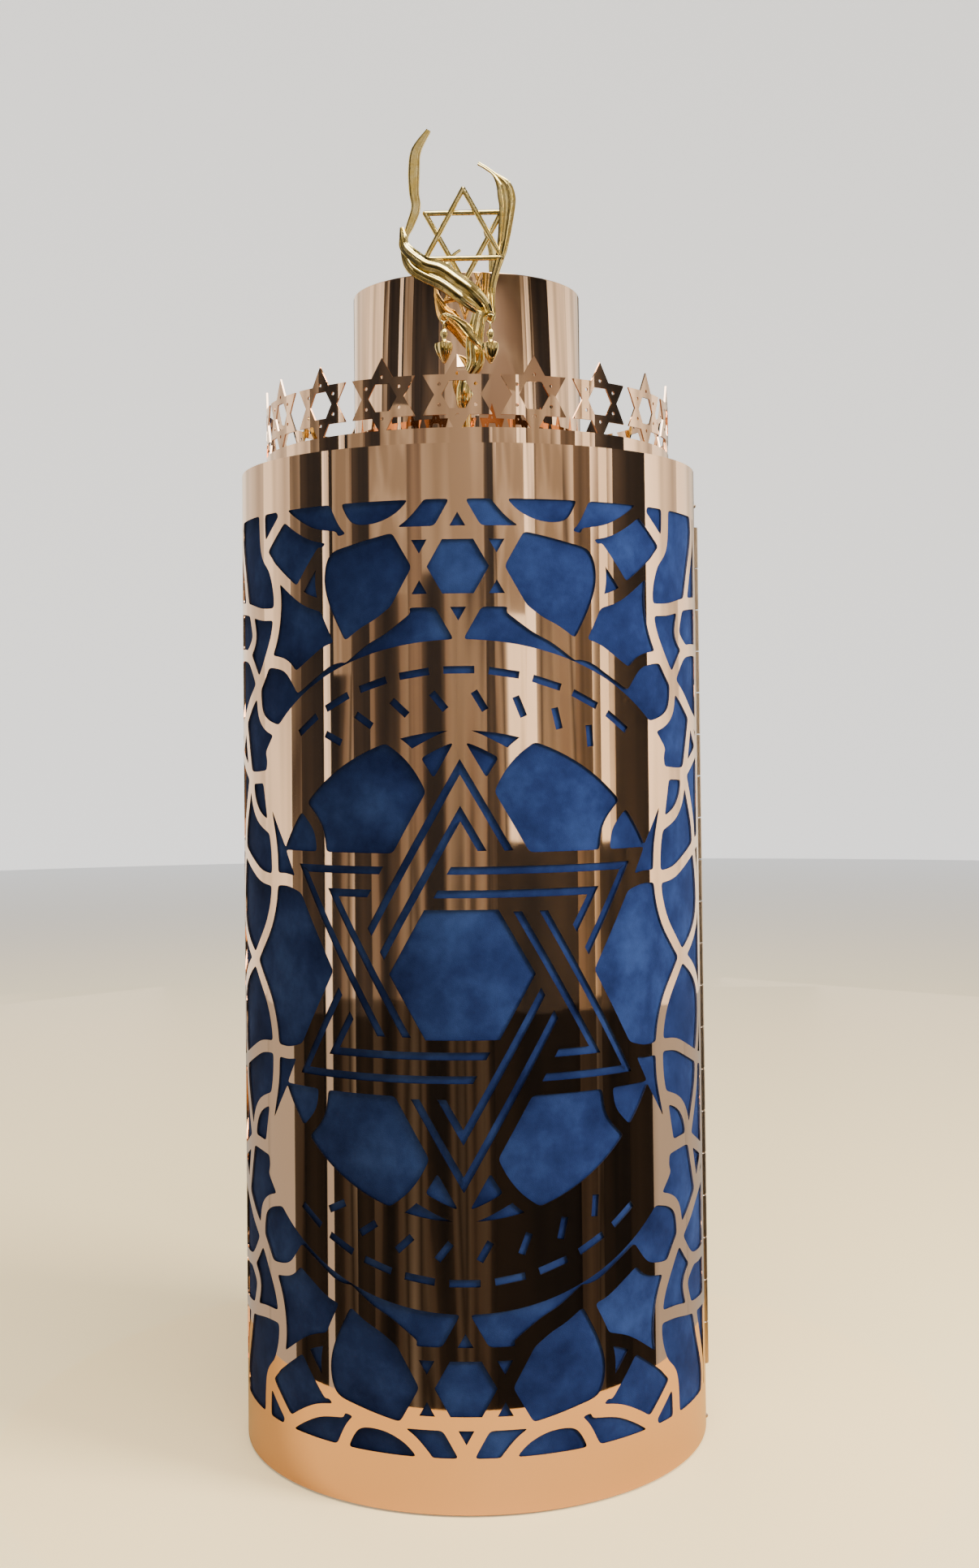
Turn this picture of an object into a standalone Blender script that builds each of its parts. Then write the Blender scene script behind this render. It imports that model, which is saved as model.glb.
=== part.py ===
"""Torah case that opens like a book: a velvet covered cylinder under a sheet of cut mirror metal.

Metres, +Z up. The origin is on the floor below the middle of the closed case, the front faces -Y
and the hinge is at +X. The front half turns about the hinge; the rear half stands still.
"""

import math

import bmesh
import bpy
from mathutils import Matrix, Vector
from mathutils.geometry import delaunay_2d_cdt

# Case
CASE_RADIUS = 0.165
CASE_HEIGHT = 0.6836
FACET_ANGLE = math.radians(20)
SHEET = 0.0012
SHEET_LIFT = 0.0015
VELVET = 0.0010
WALL = 0.005
FLOOR = 0.009
TOP_PLATE = 0.008
LAYER_GAP = 0.0004
REST_GAP = 0.0003
SEAM_GAP = 0.0008

# Window of the lattice
TOP_BAND = 0.0361
FOOT_BAND = 0.0370
SIDE_BORDER = 0.035
STRAND = 0.008

# The drawing of the lattice, in metres from its middle, before it is fitted to the window
DRAWN_HALF_WIDTH = 0.224
RING_OUTER = 0.2145
RING_INNER = 0.1562
BIG_STAR_INNER = 0.0415
BIG_STAR_OUTER = 0.0775
SMALL_STAR_INNER = 0.0175
SMALL_STAR_OUTER = 0.0261
STAR_INTO_RING = 0.0052
STAR_INTO_BAND = 0.0087
STRAND_INTO_BORDER = 0.003
SLOT_WIDTH = 0.005
SLOT_PLACES = (0.0515, 0.0665)
SLOT_END_GAP = 0.0015
RING_STEP = math.radians(15)

# Row of strokes in the ring
STROKE_PLACE = 0.190
STROKE_LENGTH = 0.022
STROKE_WIDTH = 0.0055
STROKE_LEAN = math.radians(75)
STROKE_STEP = math.radians(10)
STROKES_EACH_SIDE = 3

# Crown strip
CROWN_RADIUS = 0.147
CROWN_SHEET = 0.0012
CROWN_STRIP = 0.0137
CROWN_STARS = 9
CROWN_STAR_RADIUS = 0.0265
CROWN_STAR_RISE = 0.0217
CROWN_STAR_HOLE = 0.0105

# Turret
TURRET_RADIUS = 0.083
TURRET_HEIGHT = 0.132
TURRET_WALL = 0.0025

# Hinge
HINGE_KNUCKLE_RADIUS = 0.0025
HINGE_OFFSET = 0.0005
HINGE_KNUCKLES = 5
HINGE_END_GAP = 0.002
KNUCKLE_GAP = 0.0004
LEAF = 0.0010
LEAF_WIDTH = 0.0085

# Finial, measured from its foot
FINIAL_PLACE = 0.112
FINIAL_SIDE = 0.0025
REAR_FINIAL_YAW = math.radians(54)
FINIAL_STEM_SIDE = 0.001
FINIAL_STAR_RADIUS = 0.0285
FINIAL_STAR_MIDDLE = (0.001, 0.148)
FINIAL_STAR_SQUEEZE = 0.9
FINIAL_WIRE = 0.0016
LEFT_BELL = (-0.0120, -0.0135, 0.0835)
RIGHT_BELL = (0.0190, -0.0175, 0.0820)

# Fineness of turned and swept bodies
TURN_STEPS = 6
SWEEP_SIDES = 4
BARREL_FACET = math.radians(60)

# Points nearer than the first are joined, bends flatter than the second are straightened
WELD = 0.00004
STRAIGHT = 0.00002
TINY = 1e-6
MITRE_LIMIT = 0.5

HALF_TURN = math.pi
ROOT3 = math.sqrt(3)
SHEET_INNER = CASE_RADIUS - SHEET
VELVET_OUTER = SHEET_INNER - LAYER_GAP
SHELL_OUTER = VELVET_OUTER - VELVET - REST_GAP
SHELL_INNER = SHELL_OUTER - WALL
TOP_PLANE = CASE_HEIGHT - 0.001
SMALL_STAR_HEIGHT = RING_OUTER + 2 * SMALL_STAR_OUTER - STAR_INTO_RING
DRAWN_HALF_HEIGHT = SMALL_STAR_HEIGHT + 2 * SMALL_STAR_OUTER - STAR_INTO_BAND
SIDE_END = DRAWN_HALF_WIDTH + STRAND_INTO_BORDER
TOP_END = DRAWN_HALF_HEIGHT + STRAND_INTO_BORDER
WINDOW_FOOT = FOOT_BAND
WINDOW_TOP = CASE_HEIGHT - TOP_BAND
WINDOW_MIDDLE = (WINDOW_FOOT + WINDOW_TOP) / 2
WINDOW_HALF_HEIGHT = (WINDOW_TOP - WINDOW_FOOT) / 2
SHEET_HALF_WIDTH = CASE_RADIUS * math.pi / 2 - SEAM_GAP / 2
WINDOW_HALF_WIDTH = SHEET_HALF_WIDTH - SIDE_BORDER
HINGE_X = CASE_RADIUS + HINGE_OFFSET
HINGE_FOOT = FOOT_BAND
HINGE_TOP = CASE_HEIGHT - TOP_BAND
RECESS = LEAF + 2 * REST_GAP
OVERSHOOT = 0.005

# Strands of one quarter of the lattice: (whether both sheets have it, width, points along its middle)
STRANDS = (
    (True, STRAND, ((0.042, 0.288), (0.092, 0.276), (0.098, 0.250), (0.077, 0.205))),
    (False, 0.0115, ((0.032, 0.239), (0.083, 0.205))),
    (False, 0.015, ((0.075, 0.2065), (0.098, 0.1965), (0.120, 0.184))),
    (False, STRAND, ((0.094, 0.239), (0.122, 0.249), (0.149, 0.268))),
    (True, STRAND, ((0.117, 0.184), (0.134, 0.201), (0.160, 0.204))),
    (True, 0.009, (
        (0.164, TOP_END), (0.160, 0.279), (0.143, 0.250), (0.147, 0.220), (0.171, 0.1885), (SIDE_END, 0.157),
    )),
    (False, STRAND, ((0.150, 0.127), (0.190, 0.126), (SIDE_END, 0.142))),
    (True, STRAND, ((0.146, 0.056), (0.180, 0.061), (SIDE_END, 0.077))),
    (False, STRAND, ((0.161, 0.124), (0.150, 0.085), (0.148, 0.054))),
    (True, STRAND, ((0.148, 0.058), (0.154, 0.033), (0.1815, -0.0005))),
    (False, STRAND, ((0.180, -0.001), (0.215, 0.021), (0.221, 0.045), (0.210, 0.075))),
    (False, STRAND, ((0.142, 0.236), (SIDE_END, 0.245))),
    (False, STRAND, ((0.025, TOP_END - 0.001), (0.042, 0.291), (0.068, 0.2865), (0.086, TOP_END - 0.001))),
    (False, STRAND, ((0.170, 0.1875), (0.190, 0.207), (SIDE_END, 0.211))),
    (False, STRAND, ((0.172, 0.188), (0.166, 0.166), (0.138, 0.156))),
    (False, STRAND, ((0.216, TOP_END), (0.217, 0.288), (0.195, 0.240))),
    (False, STRAND, ((0.190, 0.124), (0.208, 0.092), (0.211, 0.070))),
)

# End of the ring beside a side window, from its outer edge to its inner edge
RING_END = ((0.158, 0.138), (0.1605, 0.1165), (0.134, 0.0785))


def clear_scene():
    for thing in list(bpy.data.objects):
        bpy.data.objects.remove(thing, do_unlink=True)


def make_collection(name):
    group = bpy.data.collections.new(name)
    bpy.context.scene.collection.children.link(group)
    return group


def material(name, color, roughness, metallic):
    made = bpy.data.materials.new(name)
    made.use_nodes = True
    shader = made.node_tree.nodes["Principled BSDF"]
    shader.inputs["Base Color"].default_value = (*color, 1)
    shader.inputs["Roughness"].default_value = roughness
    shader.inputs["Metallic"].default_value = metallic
    return made


def add_object(name, mesh, finish, group):
    thing = bpy.data.objects.new(name, mesh)
    thing.data.materials.clear()
    thing.data.materials.append(finish)
    group.objects.link(thing)
    return thing


# Flat shapes


def polar(radius, angle):
    return (radius * math.cos(angle), radius * math.sin(angle))


def rectangle(left, foot, right, top):
    return [(left, foot), (right, foot), (right, top), (left, top)]


def strand(points, width):
    """A strip of even width along an open line."""
    points = [Vector(p) for p in points]
    left, right = [], []
    for i, here in enumerate(points):
        before = points[max(i - 1, 0)]
        after = points[min(i + 1, len(points) - 1)]
        along_in = (here - before).normalized() if i else (after - here).normalized()
        along_out = (after - here).normalized() if i < len(points) - 1 else along_in
        along = (along_in + along_out).normalized()
        across = Vector((-along.y, along.x)) * width / 2 / max(along.dot(along_in), MITRE_LIMIT)
        left.append(tuple(here + across))
        right.append(tuple(here - across))
    return left + right[::-1]


def four_fold(points):
    """A shape of one quarter and its three mirror images."""
    return [[(s * x, t * y) for x, y in points] for s in (1, -1) for t in (1, -1)]


def star_sides(inner, outer, middle=(0, 0)):
    """The six sides of a hexagram, as strips between two distances from its middle."""
    sides = []
    for i in range(6):
        normal = math.radians(90 + 60 * i)
        out = Vector(polar(1, normal))
        along = Vector((out.y, -out.x))
        corners = [
            out * outer - along * outer * ROOT3, out * outer + along * outer * ROOT3,
            out * inner + along * inner * ROOT3, out * inner - along * inner * ROOT3,
        ]
        sides.append([(c.x + middle[0], c.y + middle[1]) for c in corners])
    return sides


def star_corners(inner, outer):
    """Metal that closes the small gap inside each point, where the three sides nearly meet."""
    overlap = 1.05
    corners = []
    for i in range(6):
        out = Vector(polar(1, math.radians(90 + 60 * i)))
        along = Vector((out.y, -out.x)) * (2 * inner - outer)
        tip = out * 2 * inner * overlap
        corners.append([tuple(tip), tuple(out * outer - along), tuple(out * outer + along)])
    return corners


def star_slots(inner, outer, place, width, end_gap):
    """Inlaid lines of an interlaced hexagram: each side passes over its neighbour and under the other."""
    slots = []
    low, high = place - width / 2, place + width / 2

    def edge(distance, limit):
        return (0.5 * distance - limit) / (ROOT3 / 2)

    for i in range(6):
        out = Vector(polar(1, math.radians(90 + 60 * i)))
        along = Vector((out.y, -out.x))
        over = ((high, edge(high, inner - end_gap)), (high, high * ROOT3),
                (low, low * ROOT3), (low, edge(low, inner - end_gap)))
        under = ((high, -high * ROOT3), (high, edge(high, outer + end_gap)),
                 (low, edge(low, outer + end_gap)), (low, -low * ROOT3))
        for piece in (over, under):
            slots.append([tuple(out * v + along * u) for v, u in piece])
    return slots


def ring_half():
    """The upper half of the ring round the big star, cut off beside the side windows."""
    first = math.atan2(RING_END[0][1], RING_END[0][0]) + RING_STEP / 4
    last = math.pi - first
    steps = round((last - first) / RING_STEP)
    outer = [polar(RING_OUTER, first + (last - first) * i / steps) for i in range(steps + 1)]
    start = math.atan2(RING_END[2][1], RING_END[2][0]) + RING_STEP / 4
    end = math.pi - start
    steps = round((end - start) / RING_STEP)
    inner = [polar(RING_INNER, end - (end - start) * i / steps) for i in range(steps + 1)]
    left_end = [(-x, y) for x, y in RING_END]
    return outer + left_end + inner + list(RING_END[::-1])


def ring_strokes():
    """A row of plain slanted dashes along each half of the ring."""
    strokes = []
    for i in range(-STROKES_EACH_SIDE, STROKES_EACH_SIDE + 1):
        angle = math.pi / 2 + i * STROKE_STEP
        middle = Vector(polar(STROKE_PLACE, angle))
        along = Vector(polar(STROKE_LENGTH / 2, angle + STROKE_LEAN))
        strokes.append(strand([tuple(middle - along), tuple(middle + along)], STROKE_WIDTH))
    return strokes + [[(x, -y) for x, y in stroke] for stroke in strokes]


def fitted(shape):
    """A drawn shape fitted to the window, measured from the sheet's front line and foot."""
    wide = WINDOW_HALF_WIDTH / DRAWN_HALF_WIDTH
    tall = WINDOW_HALF_HEIGHT / DRAWN_HALF_HEIGHT
    return [(x * wide, y * tall + WINDOW_MIDDLE) for x, y in shape]


def lattice_shapes(front):
    """(metal, cuts): the shapes of one sheet. Inlaid lines, strokes and some strands are the front's."""
    metal = []
    for everywhere, width, points in STRANDS:
        if front or everywhere:
            metal += four_fold(strand(points, width))
    half = ring_half()
    metal += [half, [(x, -y) for x, y in half]]
    metal += star_sides(BIG_STAR_INNER, BIG_STAR_OUTER) + star_corners(BIG_STAR_INNER, BIG_STAR_OUTER)
    for side in (1, -1):
        metal += star_sides(SMALL_STAR_INNER, SMALL_STAR_OUTER, (0, side * SMALL_STAR_HEIGHT))
    cuts = []
    if front:
        for place in SLOT_PLACES:
            cuts += star_slots(BIG_STAR_INNER, BIG_STAR_OUTER, place, SLOT_WIDTH, SLOT_END_GAP)
        cuts += ring_strokes()
    metal = [fitted(shape) for shape in metal]
    cuts = [fitted(shape) for shape in cuts]
    half, side, foot, top = SHEET_HALF_WIDTH, WINDOW_HALF_WIDTH, WINDOW_FOOT, WINDOW_TOP
    metal += [
        rectangle(-half, SHEET_LIFT, half, foot), rectangle(-half, top, half, CASE_HEIGHT),
        rectangle(-half, SHEET_LIFT, -side, CASE_HEIGHT), rectangle(side, SHEET_LIFT, half, CASE_HEIGHT),
    ]
    return metal, cuts


# Sheets bent round the case


def on_facets(distance, radius):
    """(x, y) of a point that far along the outside of a faceted wall, from the front line."""
    facet = distance / radius / FACET_ANGLE
    first = (math.floor(facet + 0.5 + TINY) - 0.5) * FACET_ANGLE
    share = facet - first / FACET_ANGLE
    a = Vector((radius * math.sin(first), -radius * math.cos(first)))
    b = Vector((radius * math.sin(first + FACET_ANGLE), -radius * math.cos(first + FACET_ANGLE)))
    return a.lerp(b, share)


def inside(shape, x, y):
    """Whether a point lies within a flat shape."""
    turns = 0
    for (ax, ay), (bx, by) in zip(shape, shape[1:] + shape[:1]):
        if (ay > y) != (by > y) and x < ax + (y - ay) * (bx - ax) / (by - ay):
            turns += 1 if by > ay else -1
    return turns != 0


def triangles_of(points, edges, metal, cuts):
    """All points and the triangles that lie on metal and in no cut."""
    points, _, triangles, _, _, _ = delaunay_2d_cdt(points, edges, [], 0, TINY, False)
    kept = []
    for face in triangles:
        x, y = sum((points[i] for i in face), Vector((0, 0))) / 3
        if any(inside(shape, x, y) for shape in metal) and not any(inside(shape, x, y) for shape in cuts):
            kept.append(face)
    return points, kept


def spaced(points):
    """For each point, the first point that lies as good as in the same place."""
    seen, same = {}, []
    for i, p in enumerate(points):
        cell = (round(p[0] / WELD), round(p[1] / WELD))
        near = [seen.get((cell[0] + a, cell[1] + b)) for a in (-1, 0, 1) for b in (-1, 0, 1)]
        near = [j for j in near if j is not None]
        same.append(near[0] if near else i)
        if not near:
            seen[cell] = i
    return same


def needed_edges(points, faces, lines):
    """Edges of the metal's outline and of its folds, with each straight run as one edge."""
    same = spaced(points)
    uses = {}
    for face in faces:
        loop = [same[i] for i in face]
        for a, b in zip(loop, loop[1:] + loop[:1]):
            if a != b:
                edge = (min(a, b), max(a, b))
                uses[edge] = uses.get(edge, 0) + 1
    links = {}
    for (a, b), count in uses.items():
        on_fold = any(abs(points[a][0] - line) + abs(points[b][0] - line) < WELD for line in lines)
        if count % 2 or on_fold:
            links.setdefault(a, set()).add(b)
            links.setdefault(b, set()).add(a)
    for i in list(links):
        if len(links[i]) != 2:
            continue
        a, b = links[i]
        run = points[b] - points[a]
        off = abs(run.cross(points[i] - points[a])) / run.length
        if off < STRAIGHT and b not in links[a]:
            links[a].discard(i)
            links[b].discard(i)
            links[a].add(b)
            links[b].add(a)
            del links[i]
    return links


def joined_outline(metal, cuts, fold_lines, fold_span):
    """Points and triangles of the metal less the cuts, with an edge along each fold line."""
    points, edges = [], []
    folds = [[(line, fold_span[0]), (line, fold_span[1])] for line in fold_lines]
    for shape in metal + cuts + folds:
        first, count = len(points), len(shape)
        points += [Vector(p) for p in shape]
        edges += [(first + i, first + (i + 1) % count) for i in range(count if count > 2 else 1)]
    points, kept = triangles_of(points, edges, metal, cuts)
    links = needed_edges(points, kept, fold_lines)
    order = {i: k for k, i in enumerate(links)}
    corners = [points[i] for i in links]
    edges = [(order[a], order[b]) for a in links for b in links[a] if a < b]
    return triangles_of(corners, edges, metal, cuts)


def bent_sheet(name, metal, cuts, radius, span, base=0):
    """A mesh of the flat shapes folded round the case: the sheet's outer face alone."""
    half_folds = round(math.pi / 2 / FACET_ANGLE - 0.5)
    lines = [(i + 0.5) * FACET_ANGLE * radius for i in range(-half_folds, half_folds)]
    points, faces = joined_outline(metal, cuts, lines, span)
    build = bmesh.new()
    corners = {}
    for i in sorted({i for face in faces for i in face}):
        corners[i] = build.verts.new((*on_facets(points[i].x, radius), points[i].y + base))
    for face in faces:
        build.faces.new([corners[i] for i in face])
    mesh = bpy.data.meshes.new(name)
    build.to_mesh(mesh)
    build.free()
    return mesh


def add_sheet(mesh, thickness, front, finish, parts):
    """The sheet as a solid, thickened inwards. A rear one is the front one turned round."""
    sheet = add_object(mesh.name, mesh, finish, parts)
    sheet.rotation_euler.z = 0 if front else HALF_TURN
    solidify = sheet.modifiers.new("thickness", "SOLIDIFY")
    solidify.thickness = thickness
    solidify.offset = -1
    solidify.use_even_offset = True
    return sheet


# Walls made from drums


def drum(radius, foot, top, facet=FACET_ANGLE):
    build = bmesh.new()
    sides = round(2 * math.pi / facet)
    bmesh.ops.create_cone(
        build, cap_ends=True, segments=sides, radius1=radius, radius2=radius, depth=top - foot
    )
    place = Matrix.Translation((0, 0, (top + foot) / 2)) @ Matrix.Rotation(math.pi / 2, 4, "Z")
    bmesh.ops.transform(build, verts=build.verts, matrix=place)
    mesh = bpy.data.meshes.new("drum")
    build.to_mesh(mesh)
    build.free()
    return mesh


def box(low, high):
    build = bmesh.new()
    bmesh.ops.create_cube(build, size=1)
    size = [b - a for a, b in zip(low, high)]
    bmesh.ops.scale(build, verts=build.verts, vec=size)
    bmesh.ops.translate(build, verts=build.verts, vec=[(a + b) / 2 for a, b in zip(low, high)])
    mesh = bpy.data.meshes.new("box")
    build.to_mesh(mesh)
    build.free()
    return mesh


def boolean(thing, mesh, operation, cutters):
    """Adds a Boolean with its own helper object, which is left out of the model."""
    helper = bpy.data.objects.new(thing.name + "_" + operation.lower(), mesh)
    helper.matrix_world = thing.matrix_world
    cutters.objects.link(helper)
    helper.hide_render = True
    helper.display_type = "WIRE"
    modifier = thing.modifiers.new(helper.name, "BOOLEAN")
    modifier.operation = operation
    modifier.solver = "EXACT"
    modifier.object = helper
    return modifier


def half_space(front, clearance):
    """A block over the half of the case that a half piece leaves to the other."""
    reach = 2 * CASE_RADIUS
    tall = 2 * CASE_HEIGHT
    if front:
        return box((-reach, -clearance, -reach), (reach, reach, tall))
    return box((-reach, -reach, -reach), (reach, clearance, tall))


def hinge_recess():
    """The pocket at the seam that both leaves lie in."""
    return box(
        (CASE_RADIUS - LEAF_WIDTH - 2 * REST_GAP, -RECESS, HINGE_FOOT - REST_GAP),
        (CASE_RADIUS + LEAF_WIDTH, RECESS, HINGE_TOP + REST_GAP),
    )


def half_piece(name, outer, hollow, front, finish, parts, cutters, recess=True):
    """Half of a drum, hollowed by a second drum."""
    thing = add_object(name, outer, finish, parts)
    if hollow:
        boolean(thing, hollow, "DIFFERENCE", cutters)
    boolean(thing, half_space(front, SEAM_GAP / 2), "DIFFERENCE", cutters)
    if recess:
        boolean(thing, hinge_recess(), "DIFFERENCE", cutters)
    return thing


def side_name(front):
    return "front" if front else "rear"


def add_shell(front, finish, parts, cutters):
    return half_piece(
        side_name(front) + "_shell", drum(SHELL_OUTER, 0, TOP_PLANE),
        drum(SHELL_INNER, FLOOR, TOP_PLANE - TOP_PLATE), front, finish, parts, cutters,
    )


def add_velvet(front, finish, parts, cutters):
    return half_piece(
        side_name(front) + "_velvet", drum(VELVET_OUTER, SHEET_LIFT, TOP_PLANE),
        drum(VELVET_OUTER - VELVET, -OVERSHOOT, CASE_HEIGHT + OVERSHOOT), front, finish, parts, cutters,
    )


def add_fretwork(front, finish, parts):
    metal, cuts = lattice_shapes(front)
    name = side_name(front) + "_fretwork"
    room = HINGE_KNUCKLE_RADIUS + 2 * REST_GAP
    edge = CASE_RADIUS * math.pi / 2 - room
    hinge_cut = rectangle(edge, HINGE_FOOT - REST_GAP, edge + 2 * room, HINGE_TOP + REST_GAP)
    cuts.append(hinge_cut if front else [(-x, z) for x, z in hinge_cut])
    mesh = bent_sheet(name, metal, cuts, CASE_RADIUS, (0, CASE_HEIGHT + OVERSHOOT))
    return add_sheet(mesh, SHEET, front, finish, parts)


# Crown and turret


def add_crown(front, finish, parts):
    """The strip and its stars, cut and rolled as one."""
    half_width = CROWN_RADIUS * math.pi / 2 - SEAM_GAP / 2
    metal = [rectangle(-half_width, 0, half_width, CROWN_STRIP)]
    cuts = []
    notch = CROWN_STAR_RADIUS / ROOT3
    middle = CROWN_STRIP + CROWN_STAR_RISE
    step = math.pi * CROWN_RADIUS / CROWN_STARS
    for i in range(CROWN_STARS):
        place = (i - (CROWN_STARS - 1) / 2) * step
        outline = []
        for k in range(6):
            point = math.radians(90 + 60 * k)
            outline.append(polar(CROWN_STAR_RADIUS, point))
            outline.append(polar(notch, point + math.radians(30)))
        metal.append([(x + place, y + middle) for x, y in outline])
        hole = [polar(CROWN_STAR_HOLE, math.radians(60 * k)) for k in range(6)]
        cuts.append([(x + place, y + middle) for x, y in hole])
    name = side_name(front) + "_star_crown"
    top = middle + 2 * CROWN_STAR_RADIUS
    mesh = bent_sheet(name, metal, cuts, CROWN_RADIUS, (-OVERSHOOT, top), TOP_PLANE + REST_GAP)
    return add_sheet(mesh, CROWN_SHEET, front, finish, parts)


def add_turret(front, finish, parts, cutters):
    foot = TOP_PLANE + REST_GAP
    top = CASE_HEIGHT + TURRET_HEIGHT
    return half_piece(
        side_name(front) + "_turret", drum(TURRET_RADIUS, foot, top),
        drum(TURRET_RADIUS - TURRET_WALL, foot - OVERSHOOT, top - TURRET_WALL),
        front, finish, parts, cutters, recess=False,
    )


# Hinge


def add_leaf(front, finish, parts, cutters):
    """One leaf in the seam, with every second knuckle of the barrel."""
    away = -1 if front else 1
    near, far = sorted((away * REST_GAP / 2, away * (LEAF + REST_GAP / 2)))
    name = side_name(front) + "_hinge_leaf"
    inner = CASE_RADIUS - LEAF_WIDTH
    reach = HINGE_X - HINGE_KNUCKLE_RADIUS - KNUCKLE_GAP
    foot, top = HINGE_FOOT + HINGE_END_GAP, HINGE_TOP - HINGE_END_GAP
    leaf = add_object(name, box((inner, near, foot), (reach, far, top)), finish, parts)
    pitch = (top - foot) / HINGE_KNUCKLES
    for i in range(HINGE_KNUCKLES):
        if (i % 2 == 0) != front:
            continue
        low, high = foot + i * pitch + KNUCKLE_GAP / 2, foot + (i + 1) * pitch - KNUCKLE_GAP / 2
        barrel = drum(HINGE_KNUCKLE_RADIUS, low, high, BARREL_FACET)
        barrel.transform(Matrix.Translation((HINGE_X, 0, 0)))
        boolean(leaf, barrel, "UNION", cutters)
        tongue = box((reach - LEAF, near, low), (HINGE_X, far, high))
        boolean(leaf, tongue, "UNION", cutters)
    return leaf


# Finials

# Profiles of turned bodies: (radius, height), down the outer side from the top
STEM = (
    (0, 0.055), (0.0038, 0.054), (0.0060, 0.047), (0.0060, 0.037), (0.0034, 0.032),
    (0.0035, 0.007), (0.009, 0.003), (0.009, 0), (0, 0),
)
BELL = (
    (0, 0), (0.0022, -0.0015), (0.0026, -0.0045), (0.0015, -0.0075), (0.0063, -0.0100),
    (0.0060, -0.0135), (0.0042, -0.0180), (0.0015, -0.0225), (0, -0.0235),
)

# Swept limbs: each point along the middle with the limb's width and thickness there
STALK = (
    ((0.001, 0, 0.046), (0.006, 0.006)), ((0.003, 0, 0.053), (0.0075, 0.007)),
    ((0.0085, -0.001, 0.063), (0.0125, 0.008)), ((0.0085, -0.003, 0.078), (0.0125, 0.008)),
    ((0.012, -0.006, 0.096), (0.010, 0.007)),
)
RIBBON = (
    ((-0.0406, -0.002, 0.155), (0.003, 0.003)), ((-0.0390, -0.003, 0.145), (0.008, 0.005)),
    ((-0.0345, -0.004, 0.133), (0.015, 0.006)), ((-0.0258, -0.007, 0.1256), (0.0175, 0.006)),
    ((-0.0137, -0.0095, 0.120), (0.020, 0.0065)), ((-0.003, -0.011, 0.112), (0.020, 0.0065)),
    ((0.0060, -0.0095, 0.1053), (0.018, 0.0065)), ((0.0143, -0.006, 0.0985), (0.015, 0.006)),
    ((0.0185, -0.003, 0.0915), (0.007, 0.005)),
)
HORN = (
    ((-0.0372, -0.003, 0.141), (0.0045, 0.004)), ((-0.0370, -0.002, 0.151), (0.0050, 0.004)),
    ((-0.0310, 0, 0.169), (0.0076, 0.0055)), ((-0.0321, 0, 0.180), (0.0082, 0.006)),
    ((-0.0321, 0, 0.193), (0.0095, 0.006)), ((-0.0305, 0, 0.2075), (0.0082, 0.005)),
    ((-0.0219, 0, 0.2215), (0.0040, 0.0032)),
)
WING = (
    ((0.0175, -0.003, 0.0905), (0.006, 0.006)), ((0.0192, 0, 0.1028), (0.0057, 0.0055)),
    ((0.0203, 0, 0.1157), (0.0050, 0.0055)), ((0.0267, 0, 0.1388), (0.0076, 0.006)),
    ((0.0306, 0, 0.1673), (0.0117, 0.006)), ((0.0304, 0, 0.175), (0.013, 0.006)),
    ((0.0283, 0, 0.1828), (0.0108, 0.0055)), ((0.0223, 0, 0.1905), (0.003, 0.003)),
    ((0.0114, 0, 0.1983), (0.0025, 0.0025)),
)
TENDRIL = (
    ((-0.0120, -0.0135, 0.0841), (0.0028, 0.0028)), ((-0.0105, -0.0130, 0.0900), (0.0040, 0.0040)),
    ((-0.0040, -0.0095, 0.0900), (0.0045, 0.0040)), ((0.0029, -0.0065, 0.0845), (0.007, 0.0045)),
    ((0.0088, -0.0055, 0.0766), (0.006, 0.0045)), ((0.0158, -0.002, 0.0687), (0.0022, 0.0022)),
)
RIGHT_LOOP = (
    ((0.0180, -0.003, 0.0945), (0.005, 0.005)), ((0.0190, -0.012, 0.0925), (0.0034, 0.0034)),
    ((0.0190, -0.0165, 0.0885), (0.0030, 0.0030)), ((0.0190, -0.0175, 0.0826), (0.0028, 0.0028)),
)


def sweep(limb):
    """A closed loft through the limb's points, with an elliptical section square to its run."""
    build = bmesh.new()
    rings = []
    path = [Vector(place) for place, _ in limb]
    for i, (place, (width, thickness)) in enumerate(limb):
        along = (path[min(i + 1, len(path) - 1)] - path[max(i - 1, 0)]).normalized()
        across = Vector((0, 1, 0)).cross(along).normalized()
        depth = along.cross(across).normalized()
        ring = []
        for k in range(SWEEP_SIDES):
            x, y = polar(0.5, 2 * math.pi * k / SWEEP_SIDES)
            ring.append(build.verts.new(Vector(place) + across * x * width + depth * y * thickness))
        rings.append(ring)
    for low, high in zip(rings, rings[1:]):
        for k in range(SWEEP_SIDES):
            after = (k + 1) % SWEEP_SIDES
            build.faces.new((low[k], low[after], high[after], high[k]))
    build.faces.new(rings[0][::-1])
    build.faces.new(rings[-1])
    bmesh.ops.recalc_face_normals(build, faces=build.faces)
    mesh = bpy.data.meshes.new("limb")
    build.to_mesh(mesh)
    build.free()
    return mesh


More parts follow.
